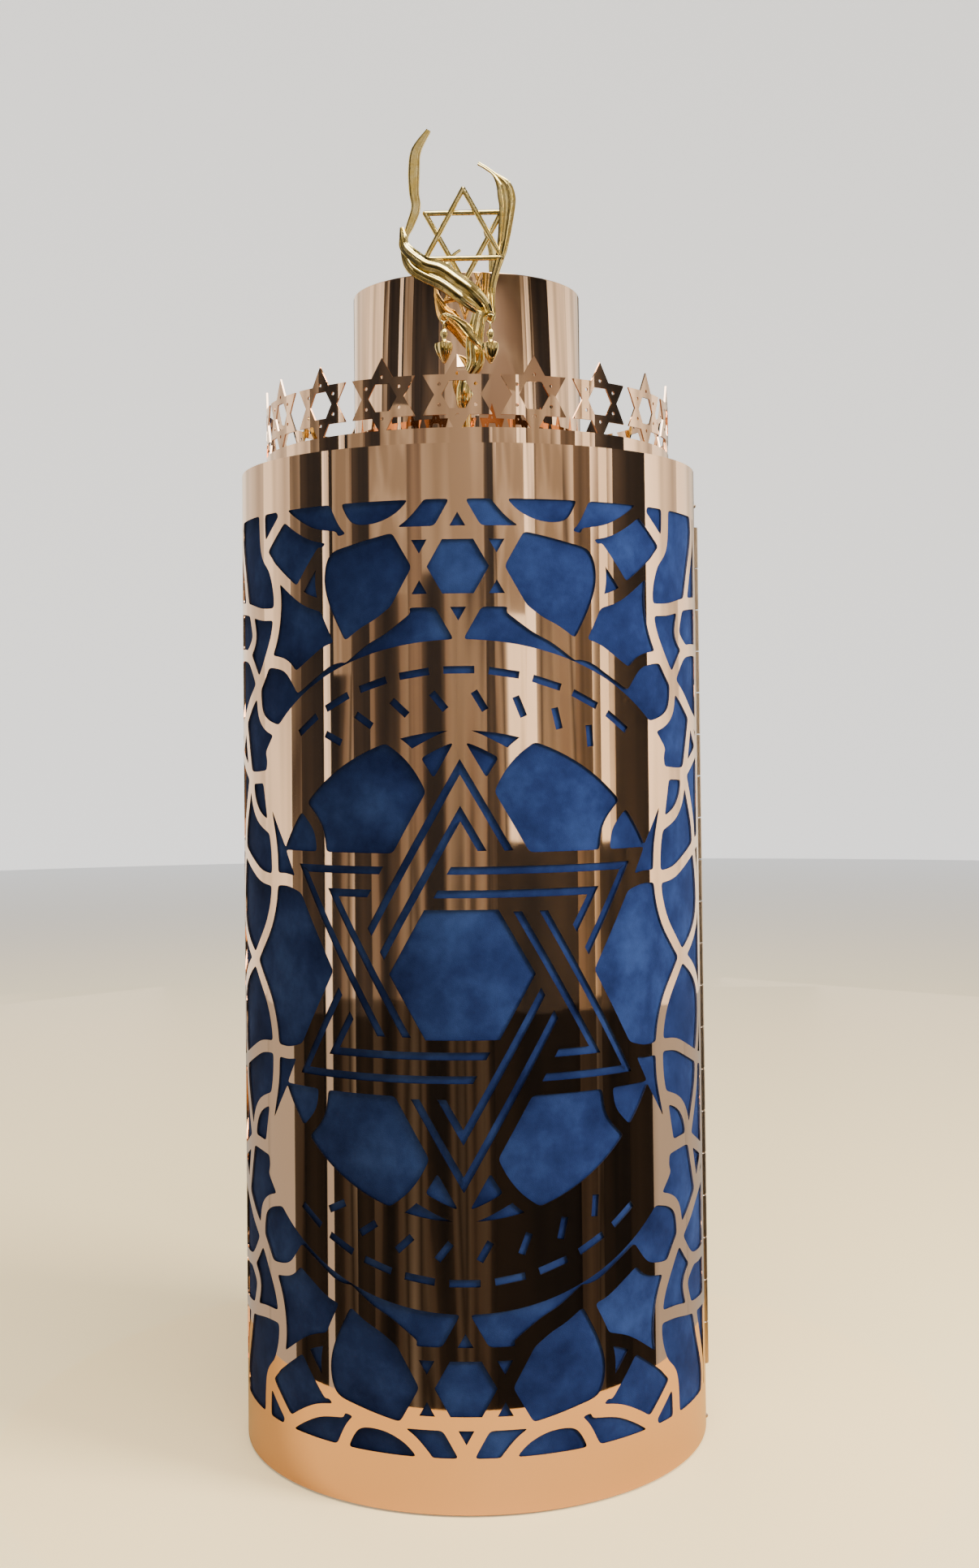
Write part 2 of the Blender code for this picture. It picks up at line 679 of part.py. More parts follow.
def wire_triangle(flip):
    """One triangle of the hexagram: a mitred loop of square wire."""
    build = bmesh.new()
    rings = []
    side, height = FINIAL_STAR_MIDDLE
    for k in range(3):
        x, z = polar(1, math.radians(90 + 180 * flip + 120 * k))
        ring = []
        for step, depth in ((-1, 0), (0, 1), (1, 0), (0, -1)):
            reach = FINIAL_STAR_RADIUS + 2 * step * FINIAL_WIRE
            y = (flip - 0.5 + depth) * FINIAL_WIRE
            ring.append(build.verts.new((x * reach * FINIAL_STAR_SQUEEZE + side, y, z * reach + height)))
        rings.append(ring)
    for low, high in zip(rings, rings[1:] + rings[:1]):
        for k in range(4):
            build.faces.new((low[k], low[(k + 1) % 4], high[(k + 1) % 4], high[k]))
    bmesh.ops.recalc_face_normals(build, faces=build.faces)
    mesh = bpy.data.meshes.new("wire_triangle")
    build.to_mesh(mesh)
    build.free()
    return mesh


def add_turned(name, profile, place, finish, parts, side=0):
    """A body turned from its profile by Screw. Its axis stands beside the object's origin by side."""
    build = bmesh.new()
    line = [build.verts.new((radius, 0, height)) for radius, height in profile]
    for a, b in zip(line, line[1:]):
        build.edges.new((a, b))
    mesh = bpy.data.meshes.new(name)
    build.to_mesh(mesh)
    build.free()
    thing = add_object(name, mesh, finish, parts)
    thing.matrix_world = place @ Matrix.Translation((side, 0, 0))
    screw = thing.modifiers.new("turned", "SCREW")
    screw.steps = TURN_STEPS
    screw.render_steps = TURN_STEPS
    screw.use_merge_vertices = True
    screw.merge_threshold = WELD
    screw.use_smooth_shade = True
    return thing


def finial_place(front):
    """Where a finial stands. The rear one is also turned about its own stem."""
    lift = Matrix.Translation((FINIAL_SIDE, -FINIAL_PLACE, TOP_PLANE + REST_GAP))
    if front:
        return lift
    return Matrix.Rotation(HALF_TURN, 4, "Z") @ lift @ Matrix.Rotation(REAR_FINIAL_YAW, 4, "Z")


def add_finial(front, finish, parts, cutters):
    place = finial_place(front)
    finial = add_turned(side_name(front) + "_finial", STEM, place, finish, parts, FINIAL_STEM_SIDE)
    limbs = [sweep(limb) for limb in (STALK, RIBBON, HORN, WING, TENDRIL, RIGHT_LOOP)]
    for mesh in limbs + [wire_triangle(0), wire_triangle(1)]:
        mesh.transform(Matrix.Translation((-FINIAL_STEM_SIDE, 0, 0)))
        boolean(finial, mesh, "UNION", cutters)
    return finial


def add_bells(front, finish, parts):
    for word, spot in (("left", LEFT_BELL), ("right", RIGHT_BELL)):
        place = finial_place(front) @ Matrix.Translation(spot)
        add_turned(f"{side_name(front)}_bell_{word}", BELL, place, finish, parts)


def main():
    clear_scene()
    parts = make_collection("torah_case")
    cutters = make_collection("torah_case_cutters")
    rose = material("rose_gold_mirror", (0.83, 0.62, 0.50), 0.06, 1.0)
    gold = material("polished_gold", (0.86, 0.66, 0.30), 0.12, 1.0)
    velvet = material("blue_velvet", (0.02, 0.055, 0.16), 0.9, 0.0)
    wood = material("case_wood", (0.42, 0.29, 0.18), 0.6, 0.0)
    brass = material("hinge_brass", (0.45, 0.36, 0.27), 0.3, 1.0)
    for front in (False, True):
        add_shell(front, wood, parts, cutters)
        add_velvet(front, velvet, parts, cutters)
        add_fretwork(front, rose, parts)
        add_crown(front, rose, parts)
        add_turret(front, rose, parts, cutters)
        add_leaf(front, brass, parts, cutters)
        add_finial(front, gold, parts, cutters)
        add_bells(front, gold, parts)


main()
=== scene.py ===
import math

import bmesh
import bpy
import numpy as np
from mathutils import Matrix, Vector
from mathutils.geometry import delaunay_2d_cdt


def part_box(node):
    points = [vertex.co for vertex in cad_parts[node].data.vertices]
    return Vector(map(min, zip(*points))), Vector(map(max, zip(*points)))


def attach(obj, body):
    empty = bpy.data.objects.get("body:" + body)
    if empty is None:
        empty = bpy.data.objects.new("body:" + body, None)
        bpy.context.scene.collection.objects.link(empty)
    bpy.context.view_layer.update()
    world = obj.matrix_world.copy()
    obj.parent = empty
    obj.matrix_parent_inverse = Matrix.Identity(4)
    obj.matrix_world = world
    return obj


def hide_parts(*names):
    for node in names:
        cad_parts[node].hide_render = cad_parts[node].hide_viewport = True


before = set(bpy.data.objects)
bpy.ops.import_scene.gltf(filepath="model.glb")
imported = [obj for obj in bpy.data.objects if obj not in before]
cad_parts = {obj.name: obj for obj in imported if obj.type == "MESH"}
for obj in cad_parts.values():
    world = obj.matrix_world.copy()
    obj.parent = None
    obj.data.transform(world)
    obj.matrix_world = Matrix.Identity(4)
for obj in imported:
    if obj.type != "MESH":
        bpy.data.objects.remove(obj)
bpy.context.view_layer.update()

# Torah case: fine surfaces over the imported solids. Metres, +Z up, the front faces -Y, the hinge is at +X.

# Sizes read from the frame
SHEET_LOW, SHEET_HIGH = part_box("front_fretwork")
LEAF_LOW, LEAF_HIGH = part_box("front_hinge_leaf")
TURRET_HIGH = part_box("front_turret")[1]
CASE_RADIUS = -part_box("rear_fretwork")[0].x
CASE_HEIGHT = SHEET_HIGH.z
TURRET_RADIUS = TURRET_HIGH.x
TURRET_TOP = TURRET_HIGH.z
TOP_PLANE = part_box("front_shell")[1].z
SHEET_FOOT = SHEET_LOW.z

# Case
SHEET = 0.0012
LAYER_GAP = 0.0004
VELVET = 0.0010
WALL = 0.005
FLOOR = 0.009
TOP_PLATE = 0.008
REST_GAP = 0.0003
SEAM_GAP = 0.0008
TOP_BAND = 0.0361
FOOT_BAND = 0.0370
SIDE_BORDER = 0.035

# Lattice drawing, in metres from its middle, before it is fitted to the window
DRAWN_HALF_WIDTH = 0.224
DRAWN_HALF_HEIGHT = 0.305
STRAND = 0.0082
RING_OUTER = 0.2145
RING_INNER = 0.1562
BIG_STAR_INNER = 0.0415
BIG_STAR_OUTER = 0.0775
SMALL_STAR_INNER = 0.0175
SMALL_STAR_OUTER = 0.0261
SMALL_STAR_HEIGHT = 0.2615
SLOT_WIDTH = 0.005
SLOT_PLACES = (0.0515, 0.0665)
SLOT_END_GAP = 0.0015
RING_STEP = math.radians(1.5)

# Rows of strokes in the ring: distance from the middle, length and lean of each row
STROKE_WIDTH = 0.0048
STROKE_ROWS = ((0.195, 0.020, math.radians(90)), (0.1755, 0.014, math.radians(35)))
STROKE_STEP = math.radians(8.6)
STROKES_EACH_SIDE = 4

# Windows of the lattice, by area: below the first they keep sharp corners, below the second they are dropped
SHARP_WINDOW = 0.00016
SPECK = 0.000004

# Crown
CROWN_RADIUS = 0.147
CROWN_STRIP = 0.0137
CROWN_STARS = 9
CROWN_STAR_RADIUS = 0.0265
CROWN_STAR_RISE = 0.0217
CROWN_STAR_HOLE = 0.0105
PIN_HOLE = 0.0012
PIN_HOLE_PLACE = 0.52

# Turret
TURRET_WALL = 0.0025
TURRET_EDGE = 0.0008
TURRET_EDGE_SHARE = 0.3

# Hinge
HINGE_X = CASE_RADIUS + 0.0005
BARREL_RADIUS = 0.0025
KNUCKLE_PITCH = 0.030
KNUCKLE_GAP = 0.0006
KNUCKLE_CHAMFER = 0.0003
LEAF = 0.0010
NOTCH_OVERSHOOT = 0.01
SCREW_HEAD = 0.0016
SCREW_ANGLE = math.radians(87.5)
SCREW_HEIGHTS = (0.004, 0.660)

# Finial, measured from its foot
FINIAL_PLACE = 0.112
FINIAL_SIDE = 0.0025
REAR_FINIAL_YAW = math.radians(54)
FINIAL_STEM_SIDE = 0.001
FINIAL_STAR_RADIUS = 0.0315
FINIAL_STAR_MIDDLE = (0.001, 0.1495)
FINIAL_STAR_SQUEEZE = 0.95
FINIAL_WIRE = 0.0018
RING_WIRE = 0.0006
LEFT_BELL = (-0.0120, -0.0135, 0.0835)
RIGHT_BELL = (0.0190, -0.0175, 0.0820)
BELL_RINGS = ((-0.0120, -0.0135, 0.0905), (0.0190, -0.0175, 0.0888))
BELL_RING_RADIUS = 0.0026
BELL_LOOP_RADIUS = 0.0022
BELL_LOBES = 5
BELL_LOBE_DEPTH = 0.22

# Mesh fineness
FOLD = math.radians(2.5)
SMOOTH_SPACING = 0.0016
ROUNDING = 0.0019
STRAIGHT = 0.000012
SHELL_STEPS = 72
VELVET_STEPS = 90
TURRET_STEPS = 96
BARREL_STEPS = 20
BELL_STEPS = 60
BALL_SEGMENTS, BALL_RINGS = 16, 10
ON_AXIS = 1e-5
ROOT3 = math.sqrt(3)
HALF_TURN = math.pi

SHEET_HALF_WIDTH = CASE_RADIUS * math.pi / 2 - SEAM_GAP / 2
WINDOW_FOOT = FOOT_BAND
WINDOW_TOP = CASE_HEIGHT - TOP_BAND
WINDOW_MIDDLE = (WINDOW_FOOT + WINDOW_TOP) / 2
WINDOW_HALF_HEIGHT = (WINDOW_TOP - WINDOW_FOOT) / 2
WINDOW_HALF_WIDTH = SHEET_HALF_WIDTH - SIDE_BORDER
VELVET_OUTER = CASE_RADIUS - SHEET - LAYER_GAP
SHELL_OUTER = VELVET_OUTER - VELVET - REST_GAP
SHELL_INNER = SHELL_OUTER - WALL

# Camera, fitted to the rims, the foot and the lattice in the photograph
CAMERA_DISTANCE = 1.2936
CAMERA_SIDE_ANGLE = math.radians(2.5)
CAMERA_HEIGHT = 0.4988
CAMERA_YAW = math.radians(1.87)
CAMERA_PITCH = math.radians(1.455)
CAMERA_ROLL = math.radians(-0.603)
CAMERA_LENS = 40.46
CAMERA_SHIFT = -0.0632

# Strands of one quarter of the lattice: (both sheets have it, width as a share of STRAND, points through
# its middle)
STRANDS = (
    (False, 1.0, ((0.025, 0.307), (0.038, 0.2935), (0.056, 0.2865), (0.075, 0.289), (0.086, 0.307))),
    (True, 1.0, (
        (0.042, 0.2885), (0.072, 0.282), (0.092, 0.2755), (0.0985, 0.258), (0.094, 0.237), (0.077, 0.205),
    )),
    (True, 1.45, ((0.034, 0.237), (0.051, 0.2245), (0.065, 0.217), (0.082, 0.205))),
    (True, 1.7, ((0.078, 0.209), (0.092, 0.206), (0.106, 0.198), (0.121, 0.189))),
    (False, 1.0, ((0.084, 0.283), (0.104, 0.2865), (0.122, 0.295), (0.140, 0.307))),
    (True, 1.0, ((0.094, 0.2385), (0.112, 0.244), (0.130, 0.255), (0.149, 0.268))),
    (True, 1.0, ((0.117, 0.184), (0.130, 0.199), (0.145, 0.2035), (0.160, 0.204))),
    (True, 1.12, (
        (0.164, 0.308), (0.1615, 0.281), (0.149, 0.267), (0.1425, 0.247), (0.146, 0.223),
        (0.158, 0.203), (0.171, 0.1885), (0.188, 0.177), (0.206, 0.165), (0.227, 0.157),
    )),
    (False, 1.0, ((0.170, 0.1875), (0.188, 0.206), (0.204, 0.2105), (0.227, 0.211))),
    (False, 1.0, ((0.172, 0.188), (0.169, 0.170), (0.158, 0.161), (0.138, 0.156))),
    (True, 1.0, ((0.1425, 0.236), (0.165, 0.237), (0.193, 0.242), (0.227, 0.245))),
    (False, 1.0, ((0.216, 0.308), (0.218, 0.290), (0.204, 0.262), (0.195, 0.240))),
    (True, 1.0, ((0.150, 0.127), (0.176, 0.125), (0.190, 0.126), (0.206, 0.133), (0.227, 0.142))),
    (False, 1.0, ((0.206, 0.165), (0.199, 0.148), (0.190, 0.124))),
    (False, 1.0, ((0.188, 0.126), (0.184, 0.110), (0.172, 0.098), (0.150, 0.090))),
    (False, 1.0, ((0.190, 0.124), (0.200, 0.106), (0.209, 0.088), (0.211, 0.070))),
    (True, 1.0, ((0.146, 0.056), (0.168, 0.058), (0.190, 0.066), (0.211, 0.0735), (0.227, 0.077))),
    (True, 1.0, ((0.161, 0.124), (0.155, 0.100), (0.149, 0.077), (0.148, 0.054))),
    (True, 1.0, ((0.148, 0.058), (0.151, 0.040), (0.160, 0.022), (0.1815, -0.0005))),
    (True, 1.0, ((0.152, 0.0565), (0.132, 0.0575), (0.112, 0.052))),
    (True, 1.0, (
        (0.180, -0.001), (0.203, 0.0115), (0.217, 0.024), (0.221, 0.040), (0.217, 0.058), (0.210, 0.075),
    )),
    (False, 1.0, ((0.133, 0.3025), (0.160, 0.280))),
    (False, 1.0, ((0.096, 0.276), (0.110, 0.260), (0.121, 0.246))),
    (False, 1.0, ((0.188, 0.242), (0.182, 0.230), (0.180, 0.2215), (0.186, 0.215), (0.198, 0.209))),
    (False, 1.0, ((0.205, 0.166), (0.214, 0.153), (0.227, 0.143))),
    (False, 1.0, ((0.0175, 0.117), (0.025, 0.131), (0.035, 0.143), (0.050, 0.154))),
    (False, 1.0, ((-0.002, 0.155), (0.014, 0.149), (0.033, 0.139))),
    (False, 1.0, ((0.117, 0.109), (0.102, 0.093), (0.0985, 0.074))),
)

# End of the ring beside a side window, from its outer edge to its inner edge
RING_END = ((0.158, 0.138), (0.1605, 0.1165), (0.134, 0.0785))


# Flat shapes


def polar(radius, angle):
    return (radius * math.cos(angle), radius * math.sin(angle))


def rectangle(left, foot, right, top):
    return [(left, foot), (right, foot), (right, top), (left, top)]


def smooth_path(points, spans):
    """Points on a smooth curve through the given ones."""
    points = [Vector(p) for p in points]
    path = []
    for i in range(len(points) - 1):
        a, b, c, d = (points[min(max(k, 0), len(points) - 1)] for k in (i - 1, i, i + 1, i + 2))
        for k in range(spans):
            t = k / spans
            path.append(
                0.5 * (2 * b + (c - a) * t + (2 * a - 5 * b + 4 * c - d) * t * t
                       + (3 * b - a - 3 * c + d) * t ** 3)
            )
    return path + [points[-1]]


def strand(points, width, spans=6):
    """A strip of even width along an open line."""
    points = smooth_path(points, spans) if len(points) > 2 else [Vector(p) for p in points]
    left, right = [], []
    for i, here in enumerate(points):
        along = (points[min(i + 1, len(points) - 1)] - points[max(i - 1, 0)]).normalized()
        across = Vector((-along.y, along.x)) * width / 2
        left.append(tuple(here + across))
        right.append(tuple(here - across))
    return left + right[::-1]


def four_fold(points):
    return [[(s * x, t * y) for x, y in points] for s in (1, -1) for t in (1, -1)]


def star_sides(inner, outer, middle=(0, 0)):
    """The six sides of a hexagram, as strips between two distances from its middle."""
    sides = []
    for i in range(6):
        out = Vector(polar(1, math.radians(90 + 60 * i)))
        along = Vector((out.y, -out.x))
        corners = [
            out * outer - along * outer * ROOT3, out * outer + along * outer * ROOT3,
            out * inner + along * inner * ROOT3, out * inner - along * inner * ROOT3,
        ]
        sides.append([(c.x + middle[0], c.y + middle[1]) for c in corners])
    return sides


def star_corners(inner, outer):
    """Metal that closes the small gap inside each point, where the three sides nearly meet."""
    overlap = 1.05
    corners = []
    for i in range(6):
        out = Vector(polar(1, math.radians(90 + 60 * i)))
        along = Vector((out.y, -out.x)) * (2 * inner - outer)
        tip = out * 2 * inner * overlap
        corners.append([tuple(tip), tuple(out * outer - along), tuple(out * outer + along)])
    return corners


def star_slots(inner, outer, place, width, end_gap):
    """Inlaid lines of an interlaced hexagram: each side passes over its neighbour and under the other."""
    slots = []
    low, high = place - width / 2, place + width / 2

    def edge(distance, limit):
        return (0.5 * distance - limit) / (ROOT3 / 2)

    for i in range(6):
        out = Vector(polar(1, math.radians(90 + 60 * i)))
        along = Vector((out.y, -out.x))
        over = ((high, edge(high, inner - end_gap)), (high, high * ROOT3),
                (low, low * ROOT3), (low, edge(low, inner - end_gap)))
        under = ((high, -high * ROOT3), (high, edge(high, outer + end_gap)),
                 (low, edge(low, outer + end_gap)), (low, -low * ROOT3))
        for piece in (over, under):
            slots.append([tuple(out * v + along * u) for v, u in piece])
    return slots


def ring_half():
    """The upper half of the ring round the big star, cut off beside the side windows."""
    first = math.atan2(RING_END[0][1], RING_END[0][0]) + RING_STEP / 4
    last = math.pi - first
    steps = round((last - first) / RING_STEP)
    outer = [polar(RING_OUTER, first + (last - first) * i / steps) for i in range(steps + 1)]
    start = math.atan2(RING_END[2][1], RING_END[2][0]) + RING_STEP / 4
    end = math.pi - start
    steps = round((end - start) / RING_STEP)
    inner = [polar(RING_INNER, end - (end - start) * i / steps) for i in range(steps + 1)]
    left_end = [(-x, y) for x, y in RING_END]
    return outer + left_end + inner + list(RING_END[::-1])


def ring_strokes():
    """Rows of plain dashes along the ring, the inner row slanted."""
    strokes = []
    for row, (radius, length, lean) in enumerate(STROKE_ROWS):
        for i in range(-STROKES_EACH_SIDE, STROKES_EACH_SIDE + 1 - row):
            angle = math.pi / 2 + (i + 0.5 * row) * STROKE_STEP
            middle = Vector(polar(radius, angle))
            along = Vector(polar(length / 2, angle + lean))
            strokes.append(strand([tuple(middle - along), tuple(middle + along)], STROKE_WIDTH))
    return strokes + [[(x, -y) for x, y in stroke] for stroke in strokes]


def fitted(shape):
    """A drawn shape fitted to the window, measured from the sheet's front line and foot."""
    wide = WINDOW_HALF_WIDTH / DRAWN_HALF_WIDTH
    tall = WINDOW_HALF_HEIGHT / DRAWN_HALF_HEIGHT
    return [(x * wide, y * tall + WINDOW_MIDDLE) for x, y in shape]


def lattice_shapes(front):
    """(metal, cuts) of one sheet, as flat outlines. Only the front has the cuts and all the strands."""
    metal = []
    for everywhere, width, points in STRANDS:
        if front or everywhere:
            metal += four_fold(strand(points, STRAND * width))
    half = ring_half()
    metal += [half, [(x, -y) for x, y in half]]
    metal += star_sides(BIG_STAR_INNER, BIG_STAR_OUTER) + star_corners(BIG_STAR_INNER, BIG_STAR_OUTER)
    for side in (1, -1):
        metal += star_sides(SMALL_STAR_INNER, SMALL_STAR_OUTER, (0, side * SMALL_STAR_HEIGHT))
    cuts = []
    if front:
        for place in SLOT_PLACES:
            cuts += star_slots(BIG_STAR_INNER, BIG_STAR_OUTER, place, SLOT_WIDTH, SLOT_END_GAP)
        cuts += ring_strokes()
    metal = [fitted(shape) for shape in metal]
    cuts = [fitted(shape) for shape in cuts]
    half, side, foot, top = SHEET_HALF_WIDTH, WINDOW_HALF_WIDTH, WINDOW_FOOT, WINDOW_TOP
    metal += [
        rectangle(-half, SHEET_FOOT, half, foot), rectangle(-half, top, half, CASE_HEIGHT),
        rectangle(-half, SHEET_FOOT, -side, CASE_HEIGHT), rectangle(side, SHEET_FOOT, half, CASE_HEIGHT),
    ]
    return metal, cuts


# Joining flat shapes


def within(shape, centres):
    """For each centre, whether it lies within the shape."""
    ring = np.array(shape)
    low, high = ring.min(0), ring.max(0)
    near = np.nonzero(np.all((centres > low) & (centres < high), axis=1))[0]
    found = np.zeros(len(centres), bool)
    if not len(near):
        return found
    x, y = centres[near, 0][:, None], centres[near, 1][:, None]
    a, b = ring, np.roll(ring, -1, axis=0)
    rise = b[:, 1] - a[:, 1]
    rise = np.where(rise == 0, 1e-12, rise)
    crossed = (a[:, 1] > y) != (b[:, 1] > y)
    right = x < a[:, 0] + (y - a[:, 1]) * (b[:, 0] - a[:, 0]) / rise
    turns = np.where(crossed & right, np.sign(rise), 0).sum(axis=1)
    found[near] = turns != 0
    return found


def triangles_of(points, edges, metal, cuts):
    """All points and the triangles that lie on metal and in no cut."""
    points, _, triangles, _, _, _ = delaunay_2d_cdt(points, edges, [], 0, 1e-6, False)
    places = np.array([tuple(p) for p in points])
    centres = places[np.array(triangles)].mean(axis=1)
    kept = np.zeros(len(centres), bool)
    for shape in metal:
        kept |= within(shape, centres)
    for shape in cuts:
        kept &= ~within(shape, centres)
    return points, [triangles[i] for i in np.nonzero(kept)[0]]


def outlines_as_edges(shapes, lines=()):
    points, edges = [], []
    for shape in list(shapes) + list(lines):
        first, count = len(points), len(shape)
        points += [Vector(p) for p in shape]
        edges += [(first + i, first + (i + 1) % count) for i in range(count if count > 2 else 1)]
    return points, edges


def loops_of(points, triangles):
    """Closed outlines of a patch of triangles: anticlockwise round it, clockwise round its windows."""
    directed = {(a, b) for f in triangles for a, b in zip(f, f[1:] + f[:1])}
    onward = {a: b for a, b in directed if (b, a) not in directed}
    loops = []
    while onward:
        here = next(iter(onward))
        loop = []
        while here in onward:
            loop.append(tuple(points[here]))
            here = onward.pop(here)
        loops.append(loop)
    return loops


def area_of(loop):
    ring = np.array(loop)
    after = np.roll(ring, -1, axis=0)
    return float((ring[:, 0] * after[:, 1] - after[:, 0] * ring[:, 1]).sum() / 2)


def rounded(loop, spacing, amount):
    """A closed outline with its corners rounded, as a cutter leaves them."""
    ring = np.array(loop + loop[:1])
    run = np.concatenate(([0], np.cumsum(np.linalg.norm(np.diff(ring, axis=0), axis=1))))
    count = max(int(run[-1] / spacing), 12)
    places = np.linspace(0, run[-1], count, endpoint=False)
    even = np.stack([np.interp(places, run, ring[:, k]) for k in (0, 1)], axis=1)
    reach = int(3 * amount / spacing) + 1
    offsets = np.arange(-reach, reach + 1)
    weights = np.exp(-0.5 * (offsets * spacing / amount) ** 2)
    weights /= weights.sum()
    soft = sum(w * np.roll(even, k, axis=0) for k, w in zip(offsets, weights))
    return [tuple(p) for p in soft]


def straightened(loop, tolerance):
    """A closed outline without the points that lie on a straight run."""
    kept = [Vector(p) for p in loop]
    changed = True
    while changed:
        changed = False
        result = []
        i = 0
        while i < len(kept):
            before = result[-1] if result else kept[-1]
            here, after = kept[i], kept[(i + 1) % len(kept)]
            run = after - before
            off = abs(run.cross(here - before)) / max(run.length, 1e-9)
            if off < tolerance and len(kept) > 4 and i + 1 < len(kept):
                changed = True
                result.append(after)
                i += 2
            else:
                result.append(here)
                i += 1
        kept = result
    return [tuple(p) for p in kept]


def lattice_windows(front):
    """(windows, cuts) of one sheet, the lattice's windows with soft corners."""
    metal, cuts = lattice_shapes(front)
    points, edges = outlines_as_edges(metal)
    points, triangles = triangles_of(points, edges, metal, [])
    windows = []
    star_places = [Vector((0, WINDOW_MIDDLE))]
    star_places += [Vector((0, WINDOW_MIDDLE + s * SMALL_STAR_HEIGHT)) for s in (1, -1)]
    for loop in loops_of(points, triangles):
        area = area_of(loop)
        if area > 0:
            continue
        middle = Vector(np.array(loop).mean(axis=0))
        sharp = min((middle - place).length for place in star_places) < SMALL_STAR_INNER
        small = abs(area) < SHARP_WINDOW
        if abs(area) > SPECK:
            windows.append(loop if sharp or small else rounded(loop, SMOOTH_SPACING, ROUNDING))
    return windows, cuts


# Sheets bent round the case


def bend(points, triangles, radius, thickness, base=0):
    """A sheet of cut metal rolled to a radius, with exact normals so that it mirrors cleanly."""
    used = sorted({i for face in triangles for i in face})
    order = {i: k for k, i in enumerate(used)}
    count = len(used)
    turns = np.array([points[i].x / radius for i in used])
    heights = np.array([points[i].y + base for i in used])
    rim = np.stack([np.sin(turns), -np.cos(turns)], axis=1)
    outer = np.column_stack([rim * radius, heights])
    inner = np.column_stack([rim * (radius - thickness), heights])
    faces = [tuple(order[i] for i in f) for f in triangles]
    directed = {(a, b) for f in faces for a, b in zip(f, f[1:] + f[:1])}
    border = [(a, b) for a, b in sorted(directed) if (b, a) not in directed]
    whole = list(faces)
    whole += [tuple(i + count for i in reversed(f)) for f in faces]
    whole += [(b, a, a + count, b + count) for a, b in border]
    mesh = bpy.data.meshes.new("bent")
    mesh.from_pydata(np.vstack([outer, inner]).tolist(), [], whole)
    mesh.update()
    normals = []
    for polygon in mesh.polygons:
        side = polygon.index
        for i in polygon.vertices:
            if side < len(faces):
                normals.append((*rim[i], 0))
            elif side < 2 * len(faces):
                normals.append((-rim[i - count][0], -rim[i - count][1], 0))
            else:
                normals.append(tuple(polygon.normal))
    mesh.polygons.foreach_set("use_smooth", [True] * len(mesh.polygons))
    mesh.normals_split_custom_set(normals)
    return mesh


def fold_lines(radius, half_width, foot, top):
    count = int(half_width / (FOLD * radius))
    return [[(i * FOLD * radius, foot), (i * FOLD * radius, top)] for i in range(-count, count + 1)]


def lattice_mesh(front):
    windows, cuts = lattice_windows(front)
    outline = rectangle(-SHEET_HALF_WIDTH, SHEET_FOOT, SHEET_HALF_WIDTH, CASE_HEIGHT)
    side = 1 if front else -1
    edge = CASE_RADIUS * math.pi / 2 - BARREL_RADIUS - 2 * REST_GAP
    notch = rectangle(edge, LEAF_LOW.z - REST_GAP, edge + NOTCH_OVERSHOOT, LEAF_HIGH.z + REST_GAP)
    cuts = cuts + [[(side * x, z) for x, z in notch]]
    windows = [straightened(w, STRAIGHT) for w in windows]
    lines = fold_lines(CASE_RADIUS, SHEET_HALF_WIDTH, SHEET_FOOT, CASE_HEIGHT)
    points, edges = outlines_as_edges([outline] + windows + cuts, lines)
    points, triangles = triangles_of(points, edges, [outline], windows + cuts)
    return bend(points, triangles, CASE_RADIUS, SHEET)


def crown_mesh():
    """The strip and its stars, cut and rolled as one."""
    half_width = CROWN_RADIUS * math.pi / 2 - SEAM_GAP / 2
    metal = [rectangle(-half_width, 0, half_width, CROWN_STRIP)]
    cuts = []
    notch = CROWN_STAR_RADIUS / ROOT3
    middle = CROWN_STRIP + CROWN_STAR_RISE
    step = math.pi * CROWN_RADIUS / CROWN_STARS
    for i in range(CROWN_STARS):
        place = (i - (CROWN_STARS - 1) / 2) * step
        outline = []
        for k in range(6):
            point = math.radians(90 + 60 * k)
            outline.append(polar(CROWN_STAR_RADIUS, point))
            outline.append(polar(notch, point + math.radians(30)))
            x, y = polar(CROWN_STAR_RADIUS * PIN_HOLE_PLACE, point)
            pin = [polar(PIN_HOLE, math.radians(30 * j)) for j in range(12)]
            cuts.append([(x + a + place, y + b + middle) for a, b in pin])
        metal.append([(x + place, y + middle) for x, y in outline])
        hole = [polar(CROWN_STAR_HOLE, math.radians(60 * k)) for k in range(6)]
        cuts.append([(x + place, y + middle) for x, y in hole])
    top = middle + CROWN_STAR_RADIUS
    lines = fold_lines(CROWN_RADIUS, half_width, 0, top)
    points, edges = outlines_as_edges(metal + cuts, lines)
    points, triangles = triangles_of(points, edges, metal, cuts)
    return bend(points, triangles, CROWN_RADIUS, SHEET, TOP_PLANE + REST_GAP)


# Turned and swept bodies


def revolve(profile, start, end, steps):
    """A closed body: a closed profile of (radius, height) turned from one angle to another."""
    build = bmesh.new()
    rings = []
    for k in range(steps + 1):
        x, y = polar(1, start + (end - start) * k / steps)
        rings.append([build.verts.new((x * r, y * r, z)) for r, z in profile])
    count = len(profile)
    for low, high in zip(rings, rings[1:]):
        for i in range(count):
            j = (i + 1) % count
            build.faces.new((low[i], low[j], high[j], high[i]))
    build.faces.new(rings[0][::-1])
    build.faces.new(rings[-1])
    bmesh.ops.remove_doubles(build, verts=build.verts, dist=1e-7)
    bmesh.ops.recalc_face_normals(build, faces=build.faces)
    mesh = bpy.data.meshes.new("revolved")
    build.to_mesh(mesh)
    build.free()
    return mesh


